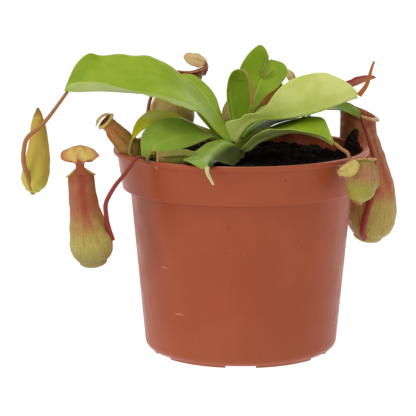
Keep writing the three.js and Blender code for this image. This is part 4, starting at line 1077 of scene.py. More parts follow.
def lid_finish(name, middle_colour, edge_colour, speck_colour):
    material, tree, shader = new_material(name, roughness=0.6, Specular_IOR_Level=0.12)
    place = object_place(tree)
    broad = patches(tree, place, size_mm=2.2, contrast=0.8)
    shade = mix(tree, stored(tree, "edge"), middle_colour, edge_colour)
    shade = cover(tree, broad, 0.3, shade, edge_colour)
    freckles = specks(tree, place, spacing_mm=0.7, size=0.32, kept=0.5)
    shade = cover(tree, freckles, 0.5, shade, speck_colour)
    shade = mix(tree, stored(tree, "neck"), shade, NECK_RED)
    join(tree, shade, shader, "Base Color")
    veins = streaks(tree, lines_across=16.0, breaks_along=2.0, sharpness=0.4)
    bumped(tree, shader, veins["Height"], 0.4, 0.2)
    return material


LID_FINISHES = {
    "flushed": lid_finish("lid_flushed", paint(212, 192, 100), paint(178, 106, 70), paint(160, 76, 54)),
    "tan": lid_finish("lid_tan", paint(206, 180, 124), paint(196, 158, 104), paint(120, 66, 42)),
    "pink": lid_finish("lid_pink", paint(190, 122, 92), paint(170, 66, 66), paint(140, 50, 52)),
    "pale": lid_finish("lid_pale", paint(204, 186, 106), paint(190, 168, 90), paint(168, 130, 78)),
    "olive": lid_finish("lid_olive", paint(150, 140, 60), paint(128, 112, 50), paint(96, 66, 36)),
}
print("lid finishes:", ", ".join(LID_FINISHES))

# %% The lids' lines, in millimetres
LIDS = {
    "lid_left_front": {
        "midrib": [[-71.6, -52.3, 91.2], [-72, -52.5, 97], [-72.3, -49, 101], [-72.3, -44, 103.5]],
        "facing": 0,
        "width": 9, "rise": [-8, -14, -12],
    },
    "lid_left_rim": {
        "midrib": [[-59.5, -13, 113.2], [-62.5, -14, 113.6], [-65.5, -16, 111.6], [-67, -18, 108.5]],
        "facing": 100,
        "width": 3, "rise": [0, 0, 0],
    },
    "lid_back_left": {
        "midrib": [[-18.5, 41, 125.3], [-17, 41, 130.5], [-21.5, 41, 133.5], [-28, 40, 134.5]],
        "facing": 90,
        "width": 5.5, "rise": [-8, -14, -12],
    },
    "lid_back": {
        "midrib": [[21.8, 42, 118.6], [26, 42, 122], [25, 42, 126.5], [20, 42, 128.5]],
        "facing": 90,
        "width": 4.5, "rise": [-20, -30, -20],
    },
    "lid_right_large": {
        "midrib": [[48.8, 37.2, 111.5], [50.5, 36.5, 118.5], [56.5, 36, 121.8], [65, 36, 125]],
        "facing": 90,
        "width": 7, "rise": [-25, -30, -20],
    },
    "lid_right_squat": {
        "midrib": [[51.5, -49, 97.5], [49.5, -50.5, 96.5], [46, -51.5, 94.5], [43, -51.5, 92.5]],
        "facing": 90,
        "width": 5, "rise": [-80, -80, -80],
    },
    "lid_old_lying": {
        "midrib": [[-39, -41.2, 99.8], [-40.5, -42, 100.5], [-42, -42.5, 98.5], [-42.3, -42.5, 95.5]],
        "facing": 280,
        "width": 3, "rise": [0, 0, 0],
    },
}
print("lids:", len(LIDS))

# %% Lid blades
LID_ALONG, LID_ACROSS = 56, 40
LID_EDGE_THICKNESS = 0.3
FOLD_THICKNESS = 0.6
DENT_PLACE, DENT_WIDTH = 0.36, 0.14
LID_WAVE_SIZE = 3.2


def through_three(three, t):
    """A value that passes through start, middle and end."""
    start, middle, end = three
    return start * (1 - t) * (1 - 2 * t) + middle * 4 * t * (1 - t) + end * t * (2 * t - 1)


def lid_piece(name, spec, finish, ruffle, neck, stalk, lobes, roll, thickness):
    seed = name_seed(name)
    rows = np.linspace(0, 1, LID_ALONG + 1)
    midrib = by_length(spec["midrib"], rows)
    heading = unit(np.gradient(midrib, axis=0))
    outward = compass(spec["facing"])
    across = unit(outward - heading * (heading @ outward)[:, None])
    above = np.cross(across, heading)
    turn = math.radians(roll)
    across, above = (across * math.cos(turn) + above * math.sin(turn),
                     above * math.cos(turn) - across * math.sin(turn))
    fullness = np.maximum(0, np.sin(math.pi * (0.08 + 0.9 * rows))) ** 0.7
    if neck:
        middle = (1 + neck) / 2
        fullness = np.sqrt(np.maximum(0, 1 - ((rows - middle) / (1 - middle)) ** 2))
    share = np.linspace(-1, 1, LID_ACROSS + 1)
    dents = 1 - lobes * np.exp(-((np.abs(share) - DENT_PLACE) / DENT_WIDTH) ** 2)
    centres = np.stack([by_length(spec["midrib"], rows * dent) for dent in dents], axis=1)
    width = np.maximum(stalk * (1 - 0.9 * rows ** 4), spec["width"] * fullness)
    rise = np.radians(through_three(spec["rise"], rows)) * (1 - FOLD_THICKNESS / width)
    reach = width[:, None] * share[None]
    surface = (centres + across[:, None] * (reach * np.cos(rise)[:, None])[..., None]
               + above[:, None] * (np.abs(reach) * np.sin(rise)[:, None])[..., None])
    normal = facing_of(surface)
    wave = ruffle * share[None] ** 2 * uneven(surface, LID_WAVE_SIZE, seed) * np.sin(math.pi * rows)[:, None]
    surface = surface + normal * wave[..., None]
    bulge = np.sqrt(np.maximum(0, 1 - share[None] ** 2)) * np.sqrt(np.sin(math.pi * rows))[:, None]
    half = (LID_EDGE_THICKNESS + (thickness - LID_EDGE_THICKNESS) * bulge) / 2
    upper = surface + normal * half[..., None]
    lower = surface - normal * half[..., None]
    places = np.concatenate([upper.reshape(-1, 3), lower.reshape(-1, 3)])
    faces = sheet_faces(LID_ALONG + 1, LID_ACROSS + 1)
    u, v = np.meshgrid(rows, share, indexing="ij")
    uv = np.stack([u, 0.5 + 0.5 * v], axis=-1).reshape(-1, 2)
    edge = step_up(np.maximum(np.abs(v), np.abs(u - 0.45) * 1.5), 0.45, 1.0).ravel()
    red = np.zeros_like(u) if not neck else (
        0.9 * (1 - step_up(u, neck, neck + 0.15))
        + 0.5 * np.exp(-((v + 0.1) / 0.1) ** 2) * (1 - step_up(u, 0.45, 0.9)))
    red = np.clip(red, 0, 0.95).ravel()
    return new_piece(name + "_blade", places, faces, [LID_FINISHES[finish]], uv=np.concatenate([uv, uv]),
                     values={"edge": np.tile(edge, 2), "neck": np.tile(red, 2)})


print("places in a lid:", 2 * (LID_ALONG + 1) * (LID_ACROSS + 1))

# %% Every lid
LID_LOOKS = {  # finish, slot, then ruffle, neck's share and radius, lobes, roll and thickness
    "lid_left_front": ("flushed", "lid_red", (0.8, 0.34, 2.0, 0.2, 0, 0.6)),
    "lid_left_rim": ("tan", "lid_red", (0.3, 0.0, 0.5, 0.0, 0, 0.6)),
    "lid_back_left": ("tan", "lid_red", (0.4, 0.3, 2.4, 0.0, 30, 0.7)),
    "lid_back": ("tan", "lid_red", (0.4, 0.2, 1.2, 0.0, 25, 0.6)),
    "lid_right_large": ("pink", "lid_red", (0.4, 0.2, 1.4, 0.0, 12, 0.6)),
    "lid_right_squat": ("pale", "lid_yellow", (0.9, 0.0, 0.5, 0.1, 0, 2.6)),
    "lid_old_lying": ("olive", "lid_yellow", (0.3, 0.0, 0.5, 0.0, 0, 0.6)),
}
LID_PIECES = {}
for lid_name, lid_spec in LIDS.items():
    lid_look, slot, sizes = LID_LOOKS[lid_name]
    LID_PIECES[lid_name] = lid_piece(lid_name, lid_spec, lid_look, *sizes)
    finish_piece(LID_PIECES[lid_name], slot, lid_name)

# %% [markdown]
# ## Tendrils
# A tendril is the midrib running on past the leaf. It is round, thickens to its pitcher, and
# turns from green to brown or red on the way. A node tree lays a tube on a drawn line, with the
# two end radii as its inputs, so one tree serves all twelve.

# %% Tendril finish
TENDRIL_SPECK = paint(96, 44, 36)


def tendril_finish(name, start, end):
    material, tree, shader = new_material(name, Specular_IOR_Level=0.18)
    shade = mix(tree, stored(tree, "along"), start, end)
    place = object_place(tree)
    broad = patches(tree, place, size_mm=2.4, contrast=0.8)
    shade = cover(tree, broad, 0.4, shade, start)
    freckles = specks(tree, place, spacing_mm=0.8, size=0.3, kept=0.4)
    shade = cover(tree, freckles, 0.35, shade, TENDRIL_SPECK)
    join(tree, shade, shader, "Base Color")
    bumped(tree, shader, broad, 0.2, 0.15)
    return material


TENDRIL_FINISHES = {
    "red": tendril_finish("tendril_red", paint(128, 58, 40), paint(160, 44, 46)),
    "rust": tendril_finish("tendril_rust", paint(170, 112, 70), paint(168, 114, 74)),
    "tan": tendril_finish("tendril_tan", paint(160, 136, 72), paint(166, 118, 70)),
    "orange": tendril_finish("tendril_orange", paint(164, 98, 40), paint(178, 104, 52)),
    "cream": tendril_finish("tendril_cream", paint(196, 188, 126), paint(206, 196, 140)),
    "green": tendril_finish("tendril_green", paint(136, 148, 52), paint(142, 130, 54)),
}
print("tendril finishes:", ", ".join(TENDRIL_FINISHES))

# %% The tendrils' lines, in millimetres
TENDRILS = {
    "tendril_far_left": {
        "route": [[-80.5, -9.5, 123.6], [-86, -13, 116], [-92, -19, 109], [-98, -22, 104], [-100, -22, 98],
          [-100, -21, 91], [-98.5, -18, 84], [-97.5, -15, 79], [-97, -12, 76.4]],
        "radius": [0.9, 1.5],
    },
    "tendril_left_front": {
        "route": [[-43.8, -40.3, 97], [-47, -47.5, 98], [-51, -52, 93], [-56, -55, 87], [-60, -56, 80],
          [-60.5, -53, 73], [-59.5, -50, 67], [-58, -47, 61]],
        "radius": [1.0, 1.5],
    },
    "tendril_left_back": {
        "route": [[-50, -21, 103], [-51, -23, 97.5], [-48.5, -23, 93.5], [-45.5, -19, 91.5],
          [-45, -14, 91.5]],
        "radius": [0.8, 1.0],
    },
    "tendril_back_left": {
        "route": [[-29.5, 25.5, 126], [-36, 23, 124.5], [-42.5, 25, 118], [-45, 29, 109], [-44, 31, 100],
          [-39, 31, 93], [-33, 31, 91.5]],
        "radius": [0.8, 1.2],
    },
    "tendril_centre_young": {
        "route": [[0.2, 6, 132], [2.2, 4, 130.5], [4.3, 3, 125], [5, 2.5, 120], [4.5, 2.5, 116]],
        "radius": [0.6, 1.0],
    },
    "tendril_centre_broad": {
        "route": [[12, 23.5, 136], [11, 21.5, 132], [9.5, 20, 128.5], [12, 19.5, 128], [15, 20, 130]],
        "radius": [0.6, 0.8],
    },
    "tendril_right_long": {
        "route": [[54.5, -9, 122], [57, -10, 126], [59, -11, 132], [61, -12, 138]],
        "radius": [1.5, 0.6],
    },
    "tendril_right_low": {
        "route": [[56.3, 19.5, 109.5], [59.2, 20.3, 102], [62.2, 21, 92], [63.8, 21.5, 84], [64, 22, 73],
          [61, 22.5, 63], [58.8, 25.5, 52], [60, 31, 47]],
        "radius": [0.8, 1.9],
    },
    "tendril_front_small": {
        "route": [[-15, -62, 96.3], [-14.8, -63.5, 94], [-12.2, -63, 88.8]],
        "radius": [1.1, 0.5],
    },
    "tendril_right_front": {
        "route": [[42.5, -29.5, 102.5], [45.5, -34, 100.5], [48.5, -37.5, 98.5], [49.3, -37.8, 92],
          [49.3, -37.8, 85], [50.5, -40, 79], [54, -43.5, 77]],
        "radius": [0.9, 1.1],
    },
    "tendril_back_right": {
        "route": [[31, 51, 104.5], [27, 53, 98], [16, 51, 93], [4, 46, 91.5], [-3, 40, 91.3]],
        "radius": [0.8, 1.1],
    },
    "tendril_old": {
        "route": [[-4.5, -3, 94.5], [-12, -14, 93.4], [-16, -24, 93.6], [-18.5, -33, 95]],
        "radius": [1.3, 1.2],
    },
}
print("tendrils:", len(TENDRILS))

# %% Making and baking a node tree
def new_tree(name, inputs):
    """A geometry node tree with named inputs."""
    tree = bpy.data.node_groups.new(name, "GeometryNodeTree")
    tree.interface.new_socket(name="Geometry", in_out="INPUT", socket_type="NodeSocketGeometry")
    for key, kind, value in inputs:
        socket = tree.interface.new_socket(name=key, in_out="INPUT", socket_type=kind)
        if value is not None:
            socket.default_value = value
    tree.interface.new_socket(name="Geometry", in_out="OUTPUT", socket_type="NodeSocketGeometry")
    return tree, tree.nodes.new("NodeGroupInput"), tree.nodes.new("NodeGroupOutput")


def keep_result(piece):
    """Makes what the piece's modifiers give its own plain mesh, and removes them."""
    depsgraph = bpy.context.evaluated_depsgraph_get()
    made = bpy.data.meshes.new_from_object(piece.evaluated_get(depsgraph))
    piece.modifiers.clear()
    old = piece.data
    piece.data = made
    bpy.data.meshes.remove(old)


def bake(piece, tree, values):
    """Gives the piece the tree's result as its own mesh."""
    modifier = piece.modifiers.new(tree.name, "NODES")
    modifier.node_group = tree
    for item in tree.interface.items_tree:
        if item.in_out == "INPUT" and item.name in values:
            modifier[item.identifier] = values[item.name]
    keep_result(piece)
    return piece


def hand_out(tree, geometry, given, result):
    """The tree's last step: the shapes get their finish."""
    painted = add(tree, "GeometryNodeSetMaterial", {
        "Geometry": geometry, "Material": given.outputs["Finish"]})
    tree.links.new(painted.outputs["Geometry"], result.inputs["Geometry"])


print("a node tree's result is kept as a plain mesh")

# %% A node tree for tubes
TUBE_SIDES = 20


def build_tube_tree():
    tree, given, result = new_tree("tendril_tube", [
        ("Foot Radius", "NodeSocketFloat", 0.001), ("Tip Radius", "NodeSocketFloat", 0.001),
        ("Sides", "NodeSocketInt", TUBE_SIDES), ("Finish", "NodeSocketMaterial", None)])
    line = add(tree, "GeometryNodeMeshToCurve", {"Mesh": given.outputs["Geometry"]})
    place = add(tree, "GeometryNodeSplineParameter")
    radius = between(tree, place.outputs["Factor"], given.outputs["Foot Radius"],
                     given.outputs["Tip Radius"])
    kept = add(tree, "GeometryNodeStoreNamedAttribute", {
        "Geometry": line.outputs["Curve"], "Name": "along", "Value": place.outputs["Factor"]},
        data_type="FLOAT", domain="POINT")
    circle = add(tree, "GeometryNodeCurvePrimitiveCircle", {"Resolution": given.outputs["Sides"],
                                                            "Radius": 1.0})
    tube = add(tree, "GeometryNodeCurveToMesh", {
        "Curve": kept.outputs["Geometry"], "Profile Curve": circle.outputs["Curve"],
        "Scale": radius, "Fill Caps": True})
    smooth = add(tree, "GeometryNodeSetShadeSmooth", {"Geometry": tube.outputs["Mesh"]})
    real = add(tree, "GeometryNodeRealizeInstances", {"Geometry": smooth.outputs["Geometry"]})
    hand_out(tree, real.outputs["Geometry"], given, result)
    return tree


TUBE_TREE = build_tube_tree()
print("tube tree:", len(TUBE_TREE.nodes), "nodes")

# %% Every tendril
STEPS_PER_POINT = 10
BEND_DEPTH, BEND_SIZE = 0.22, 9.0


def tendril_piece(name, spec, finish, slimming):
    steps = STEPS_PER_POINT * len(spec["route"])
    route = by_length(spec["route"], np.linspace(0, 1, steps + 1))
    seed = name_seed(name)
    bend = np.stack([uneven(route, BEND_SIZE, seed + k) for k in range(3)], axis=1)
    route = route + BEND_DEPTH * bend * np.sin(math.pi * np.linspace(0, 1, steps + 1))[:, None]
    mesh = bpy.data.meshes.new(name + "_tube")
    mesh.from_pydata((route * MM).tolist(), [(i, i + 1) for i in range(steps)], [])
    foot, tip = (slimming * radius for radius in spec["radius"])
    return bake(put_in_scene(name + "_tube", mesh), TUBE_TREE, {
        "Foot Radius": foot * MM, "Tip Radius": tip * MM, "Finish": TENDRIL_FINISHES[finish]})


TENDRIL_LOOKS = {  # finish, slot, share of the solid's radius
    "tendril_far_left": ("rust", "tendril_red", 0.85), "tendril_left_front": ("red", "tendril_red", 0.78),
    "tendril_left_back": ("tan", "tendril_tan", 0.9), "tendril_back_left": ("rust", "tendril_tan", 0.9),
    "tendril_centre_young": ("tan", "tendril_tan", 0.9),
    "tendril_centre_broad": ("green", "tendril_tan", 0.6),
    "tendril_right_long": ("orange", "tendril_tan", 0.85), "tendril_right_low": ("red", "tendril_red", 0.86),
    "tendril_front_small": ("cream", "tendril_tan", 0.95),
    "tendril_right_front": ("rust", "tendril_tan", 0.85),
    "tendril_back_right": ("green", "tendril_tan", 0.9), "tendril_old": ("green", "tendril_tan", 0.95),
}
for tendril_name, tendril_spec in TENDRILS.items():
    tendril_look, slot, slimming = TENDRIL_LOOKS[tendril_name]
    finish_piece(tendril_piece(tendril_name, tendril_spec, tendril_look, slimming), slot, tendril_name)


# %% [markdown]
# ## The nursery pot
# The pot is one thin moulding of terracotta-coloured plastic, tapered so that pots nest, with a
# deeper band at the top and a rounded lip. It is turned from one closed profile with small
# fillets at each corner. Notches then part the feet, and holes drain the floor.

# %% Pot finish
PLASTIC, PLASTIC_PATCH = paint(162, 78, 46), paint(150, 68, 38)
# The colour the pot turns towards the bottom, then pale marks, dark marks and scratches.
LOW_PALER_COLOUR, PALE_MARK, DARK_MARK, SCRATCH = (
    paint(164, 90, 58), paint(206, 150, 122), paint(70, 34, 24), paint(206, 142, 112))
SCRATCH_STRETCH = (0.22, 0.22, 1.6)
LOW_PALER_TOP, LOW_PALER_SHARE = 0.03, 0.25


def pot_finish():
    material, tree, shader = new_material("pot_plastic", Specular_IOR_Level=0.18, Coat_Weight=0.03,
                                          Coat_Roughness=0.25)
    place = object_place(tree)
    broad = patches(tree, place, size_mm=30.0, contrast=0.6)
    shade = cover(tree, broad, 0.5, PLASTIC, PLASTIC_PATCH)
    # Paler towards the bottom, fading out 30 mm up.
    height = add(tree, "ShaderNodeSeparateXYZ", {0: place}).outputs["Z"]
    low_paler = add(tree, "ShaderNodeMapRange", {"Value": height, "From Min": LOW_PALER_TOP, "From Max": 0.0,
                                                "To Min": 0.0, "To Max": LOW_PALER_SHARE}).outputs["Result"]
    shade = mix(tree, low_paler, shade, LOW_PALER_COLOUR)
    pale = specks(tree, place, spacing_mm=5.5, size=0.05, kept=0.5)
    shade = cover(tree, pale, 0.5, shade, PALE_MARK)
    dark = specks(tree, place, spacing_mm=6.0, size=0.07, kept=0.5)
    shade = cover(tree, dark, 0.7, shade, DARK_MARK)
    stretched = add(tree, "ShaderNodeVectorMath", {0: place, 1: SCRATCH_STRETCH},
                    operation="MULTIPLY").outputs["Vector"]
    scratches = specks(tree, stretched, spacing_mm=8.0, size=0.08, kept=0.3)
    shade = cover(tree, scratches, 0.55, shade, SCRATCH)
    join(tree, shade, shader, "Base Color")
    scuffs = patches(tree, place, size_mm=9.0, contrast=0.6)
    join(tree, between(tree, scuffs, 0.3, 0.42), shader, "Roughness")
    fine = patches(tree, place, size_mm=0.8, contrast=0.2)
    bumped(tree, shader, fine, 0.06, 0.1)
    return material


POT_FINISH = pot_finish()
print("pot finish:", POT_FINISH.name)

# %% Pot sizes, in millimetres
POT_HEIGHT = 96.0
POT_WALL = 1.3
POT_FLOOR = 1.5
FOOT_LIFT = 1.2
FOOT_INNER, FOOT_OUTER = 37.0, 42.5
FOOT_GAPS, FOOT_GAP_WIDTH = 6, 14.0
PAD_RADIUS = 12.0
BASE_RADIUS, BASE_ROUNDING = 45.3, 3.0
BODY_TOP_RADIUS = 52.1
COLLAR_BOTTOM, COLLAR_BOTTOM_RADIUS, COLLAR_TOP_RADIUS = 77.5, 55.6, 58.2
LIP_RADIUS, LIP_HEIGHT = 60.0, 2.0
DRAIN_HOLES, DRAIN_HOLE_RADIUS, DRAIN_CIRCLE = 6, 3.5, 25.0
POT_SIDES, HOLE_SIDES = 240, 48
CORNER_ROUNDING, LONGEST_RUN = 0.7, 6.0
FLOOR_TOP = FOOT_LIFT + POT_FLOOR
LIP_BOTTOM = POT_HEIGHT - LIP_HEIGHT
print("pot", 2 * LIP_RADIUS, "wide and", POT_HEIGHT, "mm high")

# %% Turning a profile
def rounded(profile, radius, steps=5):
    """The profile with each corner turned into a small curve."""
    smooth = []
    for before, corner, after in zip(profile, profile[1:], profile[2:]):
        before, corner, after = (np.array(p, float) for p in (before, corner, after))
        back, ahead = before - corner, after - corner
        cut = min(radius, 0.45 * np.linalg.norm(back), 0.45 * np.linalg.norm(ahead))
        start, end = corner + unit(back) * cut, corner + unit(ahead) * cut
        for t in np.linspace(0, 1, steps):
            smooth.append((1 - t) ** 2 * start + 2 * t * (1 - t) * corner + t * t * end)
    return [np.array(profile[0], float)] + smooth + [np.array(profile[-1], float)]


def split_long(profile, longest):
    """The profile with long straight runs split into shorter ones."""
    out = [profile[0]]
    for point in profile[1:]:
        pieces = max(1, math.ceil(np.linalg.norm(point - out[-1]) / longest))
        start = out[-1]
        out += [start + (point - start) * k / pieces for k in range(1, pieces + 1)]
    return out


def turned_piece(name, profile, sides, material):
    """A closed solid of revolution; the profile starts and ends on the axis."""
    inner = profile[1:-1]
    turns = np.linspace(0, 2 * math.pi, sides, endpoint=False)
    places = [[r * math.cos(a), r * math.sin(a), z] for r, z in inner for a in turns]
    places += [[0.0, 0.0, profile[0][1]], [0.0, 0.0, profile[-1][1]]]
    return new_piece(name, places, capped_faces(len(inner), sides), [material])


print("places round the pot:", POT_SIDES)

# %% Cutting notches and holes
def cut_from(piece, cutters):
    """Cuts each of the other shapes from the piece and removes them."""
    for cutter in cutters:
        modifier = piece.modifiers.new("cut", "BOOLEAN")
        modifier.operation = "DIFFERENCE"
        modifier.solver = "EXACT"
        modifier.object = cutter
    keep_result(piece)
    for cutter in cutters:
        mesh = cutter.data
        bpy.data.objects.remove(cutter)
        bpy.data.meshes.remove(mesh)


def loose_shape(name, build):
    """A simple shape that only serves to cut."""
    mesh = bpy.data.meshes.new(name)
    work = bmesh.new()
    build(work)
    work.to_mesh(mesh)
    work.free()
    return put_in_scene(name, mesh)


def foot_gap(turn):
    def build(work):
        bmesh.ops.create_cube(work, size=1.0)
        size = Vector((2 * (FOOT_OUTER - FOOT_INNER) * MM, FOOT_GAP_WIDTH * MM, 2 * FOOT_LIFT * MM))
        middle = Vector(((FOOT_OUTER + FOOT_INNER) / 2 * MM, 0.0, 0.0))
        for corner in work.verts:
            corner.co = Matrix.Rotation(turn, 3, "Z") @ (corner.co * size + middle)
    return loose_shape("foot_gap", build)


def drain_hole(turn):
    def build(work):
        bmesh.ops.create_cone(work, cap_ends=True, segments=HOLE_SIDES, radius1=DRAIN_HOLE_RADIUS * MM,
                              radius2=DRAIN_HOLE_RADIUS * MM, depth=8 * FLOOR_TOP * MM)
        shift = Vector((DRAIN_CIRCLE * math.cos(turn) * MM, DRAIN_CIRCLE * math.sin(turn) * MM, 0.0))
        bmesh.ops.translate(work, verts=work.verts, vec=shift)
    return loose_shape("drain_hole", build)


print("notches:", FOOT_GAPS, "and holes:", DRAIN_HOLES)

# %% The pot
POT_OUTSIDE = [
    (0, 0), (PAD_RADIUS, 0), (PAD_RADIUS + 1, FOOT_LIFT), (FOOT_INNER, FOOT_LIFT),
    (FOOT_INNER + 0.5, 0), (FOOT_OUTER - 0.5, 0), (FOOT_OUTER, FOOT_LIFT),
    (BASE_RADIUS - 1, FOOT_LIFT + 1.2), (BASE_RADIUS, FOOT_LIFT + BASE_ROUNDING),
    (BODY_TOP_RADIUS, COLLAR_BOTTOM), (COLLAR_BOTTOM_RADIUS, COLLAR_BOTTOM),
    (COLLAR_TOP_RADIUS, LIP_BOTTOM), (LIP_RADIUS, LIP_BOTTOM), (LIP_RADIUS, POT_HEIGHT),
]
POT_INSIDE = [
    (COLLAR_TOP_RADIUS - POT_WALL, POT_HEIGHT), (COLLAR_TOP_RADIUS - POT_WALL, LIP_BOTTOM - 1),
    (COLLAR_BOTTOM_RADIUS - POT_WALL, COLLAR_BOTTOM + POT_WALL),
    (BODY_TOP_RADIUS - POT_WALL, COLLAR_BOTTOM + POT_WALL),
    (BASE_RADIUS - POT_WALL, FOOT_LIFT + BASE_ROUNDING),
    (BASE_RADIUS - POT_WALL - 2, FLOOR_TOP), (0, FLOOR_TOP),
]
pot_profile = split_long(rounded(POT_OUTSIDE + POT_INSIDE, CORNER_ROUNDING), LONGEST_RUN)
nursery_pot = turned_piece("nursery_pot", pot_profile, POT_SIDES, POT_FINISH)
cutters = [foot_gap(2 * math.pi * (i + 0.5) / FOOT_GAPS) for i in range(FOOT_GAPS)]
cutters += [drain_hole(2 * math.pi * i / DRAIN_HOLES) for i in range(DRAIN_HOLES)]
cut_from(nursery_pot, cutters)
nursery_pot.data.polygons.foreach_set("use_smooth", [True] * len(nursery_pot.data.polygons))
finish_piece(nursery_pot, "pot", "pot_floor", "pot_body", "pot_collar")

# %% [markdown]
# ## Peat
# The pot is filled with dark peat and coarse bark to a few millimetres under the rim, heaped
# up against the rim on one side. The body of it is one closed surface, roughened with seeded
# unevenness at three sizes. Loose crumbs and fibres could be laid one by one, but two node
# trees scatter them: each takes a surface and puts one small shape down many times. The second
# is used again for the down on the lids.

# %% Peat finish
def peat_finish(name, dark, light, roughness, grit_colour):
    material, tree, shader = new_material(name, roughness=roughness, Specular_IOR_Level=0.12)
    place = object_place(tree)
    shade = mix(tree, patches(tree, place, size_mm=2.0, contrast=0.7), dark, light)
    grit = specks(tree, place, spacing_mm=1.4, size=0.3, kept=0.35)
    join(tree, cover(tree, grit, 0.5, shade, grit_colour), shader, "Base Color")
    bumped(tree, shader, patches(tree, place, size_mm=0.6, contrast=0.5), 0.6, 0.4)
    return material


PEAT = peat_finish("peat", paint(13, 9, 7), paint(24, 17, 13), 0.9, paint(52, 38, 28))
BARK = peat_finish("bark_crumb", paint(20, 14, 10), paint(40, 28, 20), 0.85, paint(60, 44, 32))
FIBRE = peat_finish("peat_fibre", paint(26, 18, 13), paint(58, 44, 32), 0.8, paint(90, 76, 60))
PERLITE = peat_finish("perlite", paint(196, 192, 180), paint(220, 216, 204), 0.7, paint(150, 140, 124))
print("peat finishes:", ", ".join(finish.name for finish in (PEAT, BARK, FIBRE, PERLITE)))

# %% Peat surface
SOIL_LEVEL, SOIL_RELIEF = 90.0, 1.1
MOUND_X, MOUND_Y, MOUND_HEIGHT, MOUND_SPREAD = 52.0, 3.0, 8.0, 6.5
SOIL_SIDES, SOIL_RINGS = 220, 90
SOIL_GAP = 0.5
SOIL_RIM = COLLAR_TOP_RADIUS - POT_WALL - SOIL_GAP - 0.6
PEAT_LUMPS = ((0.9, 4.5, 2.0), (0.5, 1.9, 5.0), (0.25, 0.9, 8.0))  # height, size and seed


def soil_height(x, y):
    swell = np.sin(0.23 * x + 1.3) * np.cos(0.19 * y - 0.4) + 0.6 * np.sin(0.51 * x - 0.43 * y)
    distance = np.hypot(x - MOUND_X, y - MOUND_Y) / MOUND_SPREAD
    return SOIL_LEVEL + SOIL_RELIEF * swell + MOUND_HEIGHT * np.exp(-distance ** 2)


def rough_height(x, y):
    flat = np.stack([x, y, np.zeros_like(x)], axis=-1)
    lumps = sum(height * uneven(flat, size, seed) for height, size, seed in PEAT_LUMPS)
    return soil_height(x, y) + lumps * np.clip((SOIL_RIM + 2 - np.hypot(x, y)) / 4, 0, 1)


def peat_piece():
    """The peat's sides follow the inside of the pot, a gap away, up to a rough top."""
    base, shoulder = FLOOR_TOP + SOIL_GAP, COLLAR_BOTTOM + POT_WALL + 0.6
    sides = [(BASE_RADIUS - POT_WALL - SOIL_GAP - 2.5, base), (BASE_RADIUS - POT_WALL - SOIL_GAP, 5.5),
             (BODY_TOP_RADIUS - POT_WALL - SOIL_GAP, shoulder),
             (COLLAR_BOTTOM_RADIUS - POT_WALL - SOIL_GAP, shoulder)]
    turns = np.linspace(0, 2 * math.pi, SOIL_SIDES, endpoint=False)
    rings = [np.stack([r * np.cos(turns), r * np.sin(turns), np.full(SOIL_SIDES, z)], axis=1)
             for r, z in sides]
    for share in np.linspace(0, 1, SOIL_RINGS, endpoint=False):
        x, y = SOIL_RIM * (1 - share) * np.cos(turns), SOIL_RIM * (1 - share) * np.sin(turns)
        rings.append(np.stack([x, y, rough_height(x, y)], axis=1))
    places = np.concatenate(rings + [[[0, 0, base], [0, 0, rings[-1][:, 2].mean()]]])
    return new_piece("peat_body", places, capped_faces(len(rings), SOIL_SIDES), [PEAT])


finish_piece(peat_piece(), "soil", "soil")

# %% A node tree that scatters crumbs
FULL_TURN = 2 * math.pi


def draw(tree, least, most, seed):
    """A random number for each copy, or a random vector where the limits are vectors."""
    if isinstance(least, tuple):
        return add(tree, "FunctionNodeRandomValue", {0: least, 1: most, "Seed": seed},
                   data_type="FLOAT_VECTOR").outputs[0]
    return add(tree, "FunctionNodeRandomValue", {2: least, 3: most, "Seed": seed},
               data_type="FLOAT").outputs[1]


def build_crumb_tree():
    """Rough little stones, of twenty faces each, all over a surface."""
    tree, given, result = new_tree("crumb_scatter", [
        ("Crumbs per Square Metre", "NodeSocketFloat", 100000.0), ("Size", "NodeSocketFloat", 0.0015),
        ("Seed", "NodeSocketInt", 1), ("Finish", "NodeSocketMaterial", None)])
    seed = given.outputs["Seed"]
    spots = add(tree, "GeometryNodeDistributePointsOnFaces", {
        "Mesh": given.outputs["Geometry"], "Density": given.outputs["Crumbs per Square Metre"],
        "Seed": seed})
    stone = add(tree, "GeometryNodeMeshIcoSphere", {"Radius": 0.5, "Subdivisions": 1})
    spin = draw(tree, (0.0, 0.0, 0.0), (FULL_TURN,) * 3, seed)
    squash = draw(tree, (0.5, 0.5, 0.4), (1.2, 1.1, 0.9), seed)
    rare = sum_up(tree, "POWER", draw(tree, 0.0, 1.0, seed), 3.0)
    size = sum_up(tree, "MULTIPLY", between(tree, rare, 0.5, 2.0), given.outputs["Size"])
    scale = add(tree, "ShaderNodeVectorMath", {0: squash, "Scale": size}, operation="SCALE")
    laid = add(tree, "GeometryNodeInstanceOnPoints", {
        "Points": spots.outputs["Points"], "Instance": stone.outputs["Mesh"],
        "Rotation": spin, "Scale": scale.outputs["Vector"]})
    real = add(tree, "GeometryNodeRealizeInstances", {"Geometry": laid.outputs["Instances"]})
    chips = add(tree, "ShaderNodeTexNoise", {"Scale": sum_up(tree, "DIVIDE", 1.6, given.outputs["Size"])})
    push = add(tree, "ShaderNodeVectorMath", {0: chips.outputs["Color"], 1: (0.5, 0.5, 0.5)},
               operation="SUBTRACT")
    reach = add(tree, "ShaderNodeVectorMath", {0: push.outputs["Vector"], "Scale": given.outputs["Size"]},
                operation="SCALE")
    rough = add(tree, "GeometryNodeSetPosition", {
        "Geometry": real.outputs["Geometry"], "Offset": reach.outputs["Vector"]})
    hand_out(tree, rough.outputs["Geometry"], given, result)
    return tree


CRUMB_TREE = build_crumb_tree()
print("crumb tree:", len(CRUMB_TREE.nodes), "nodes")

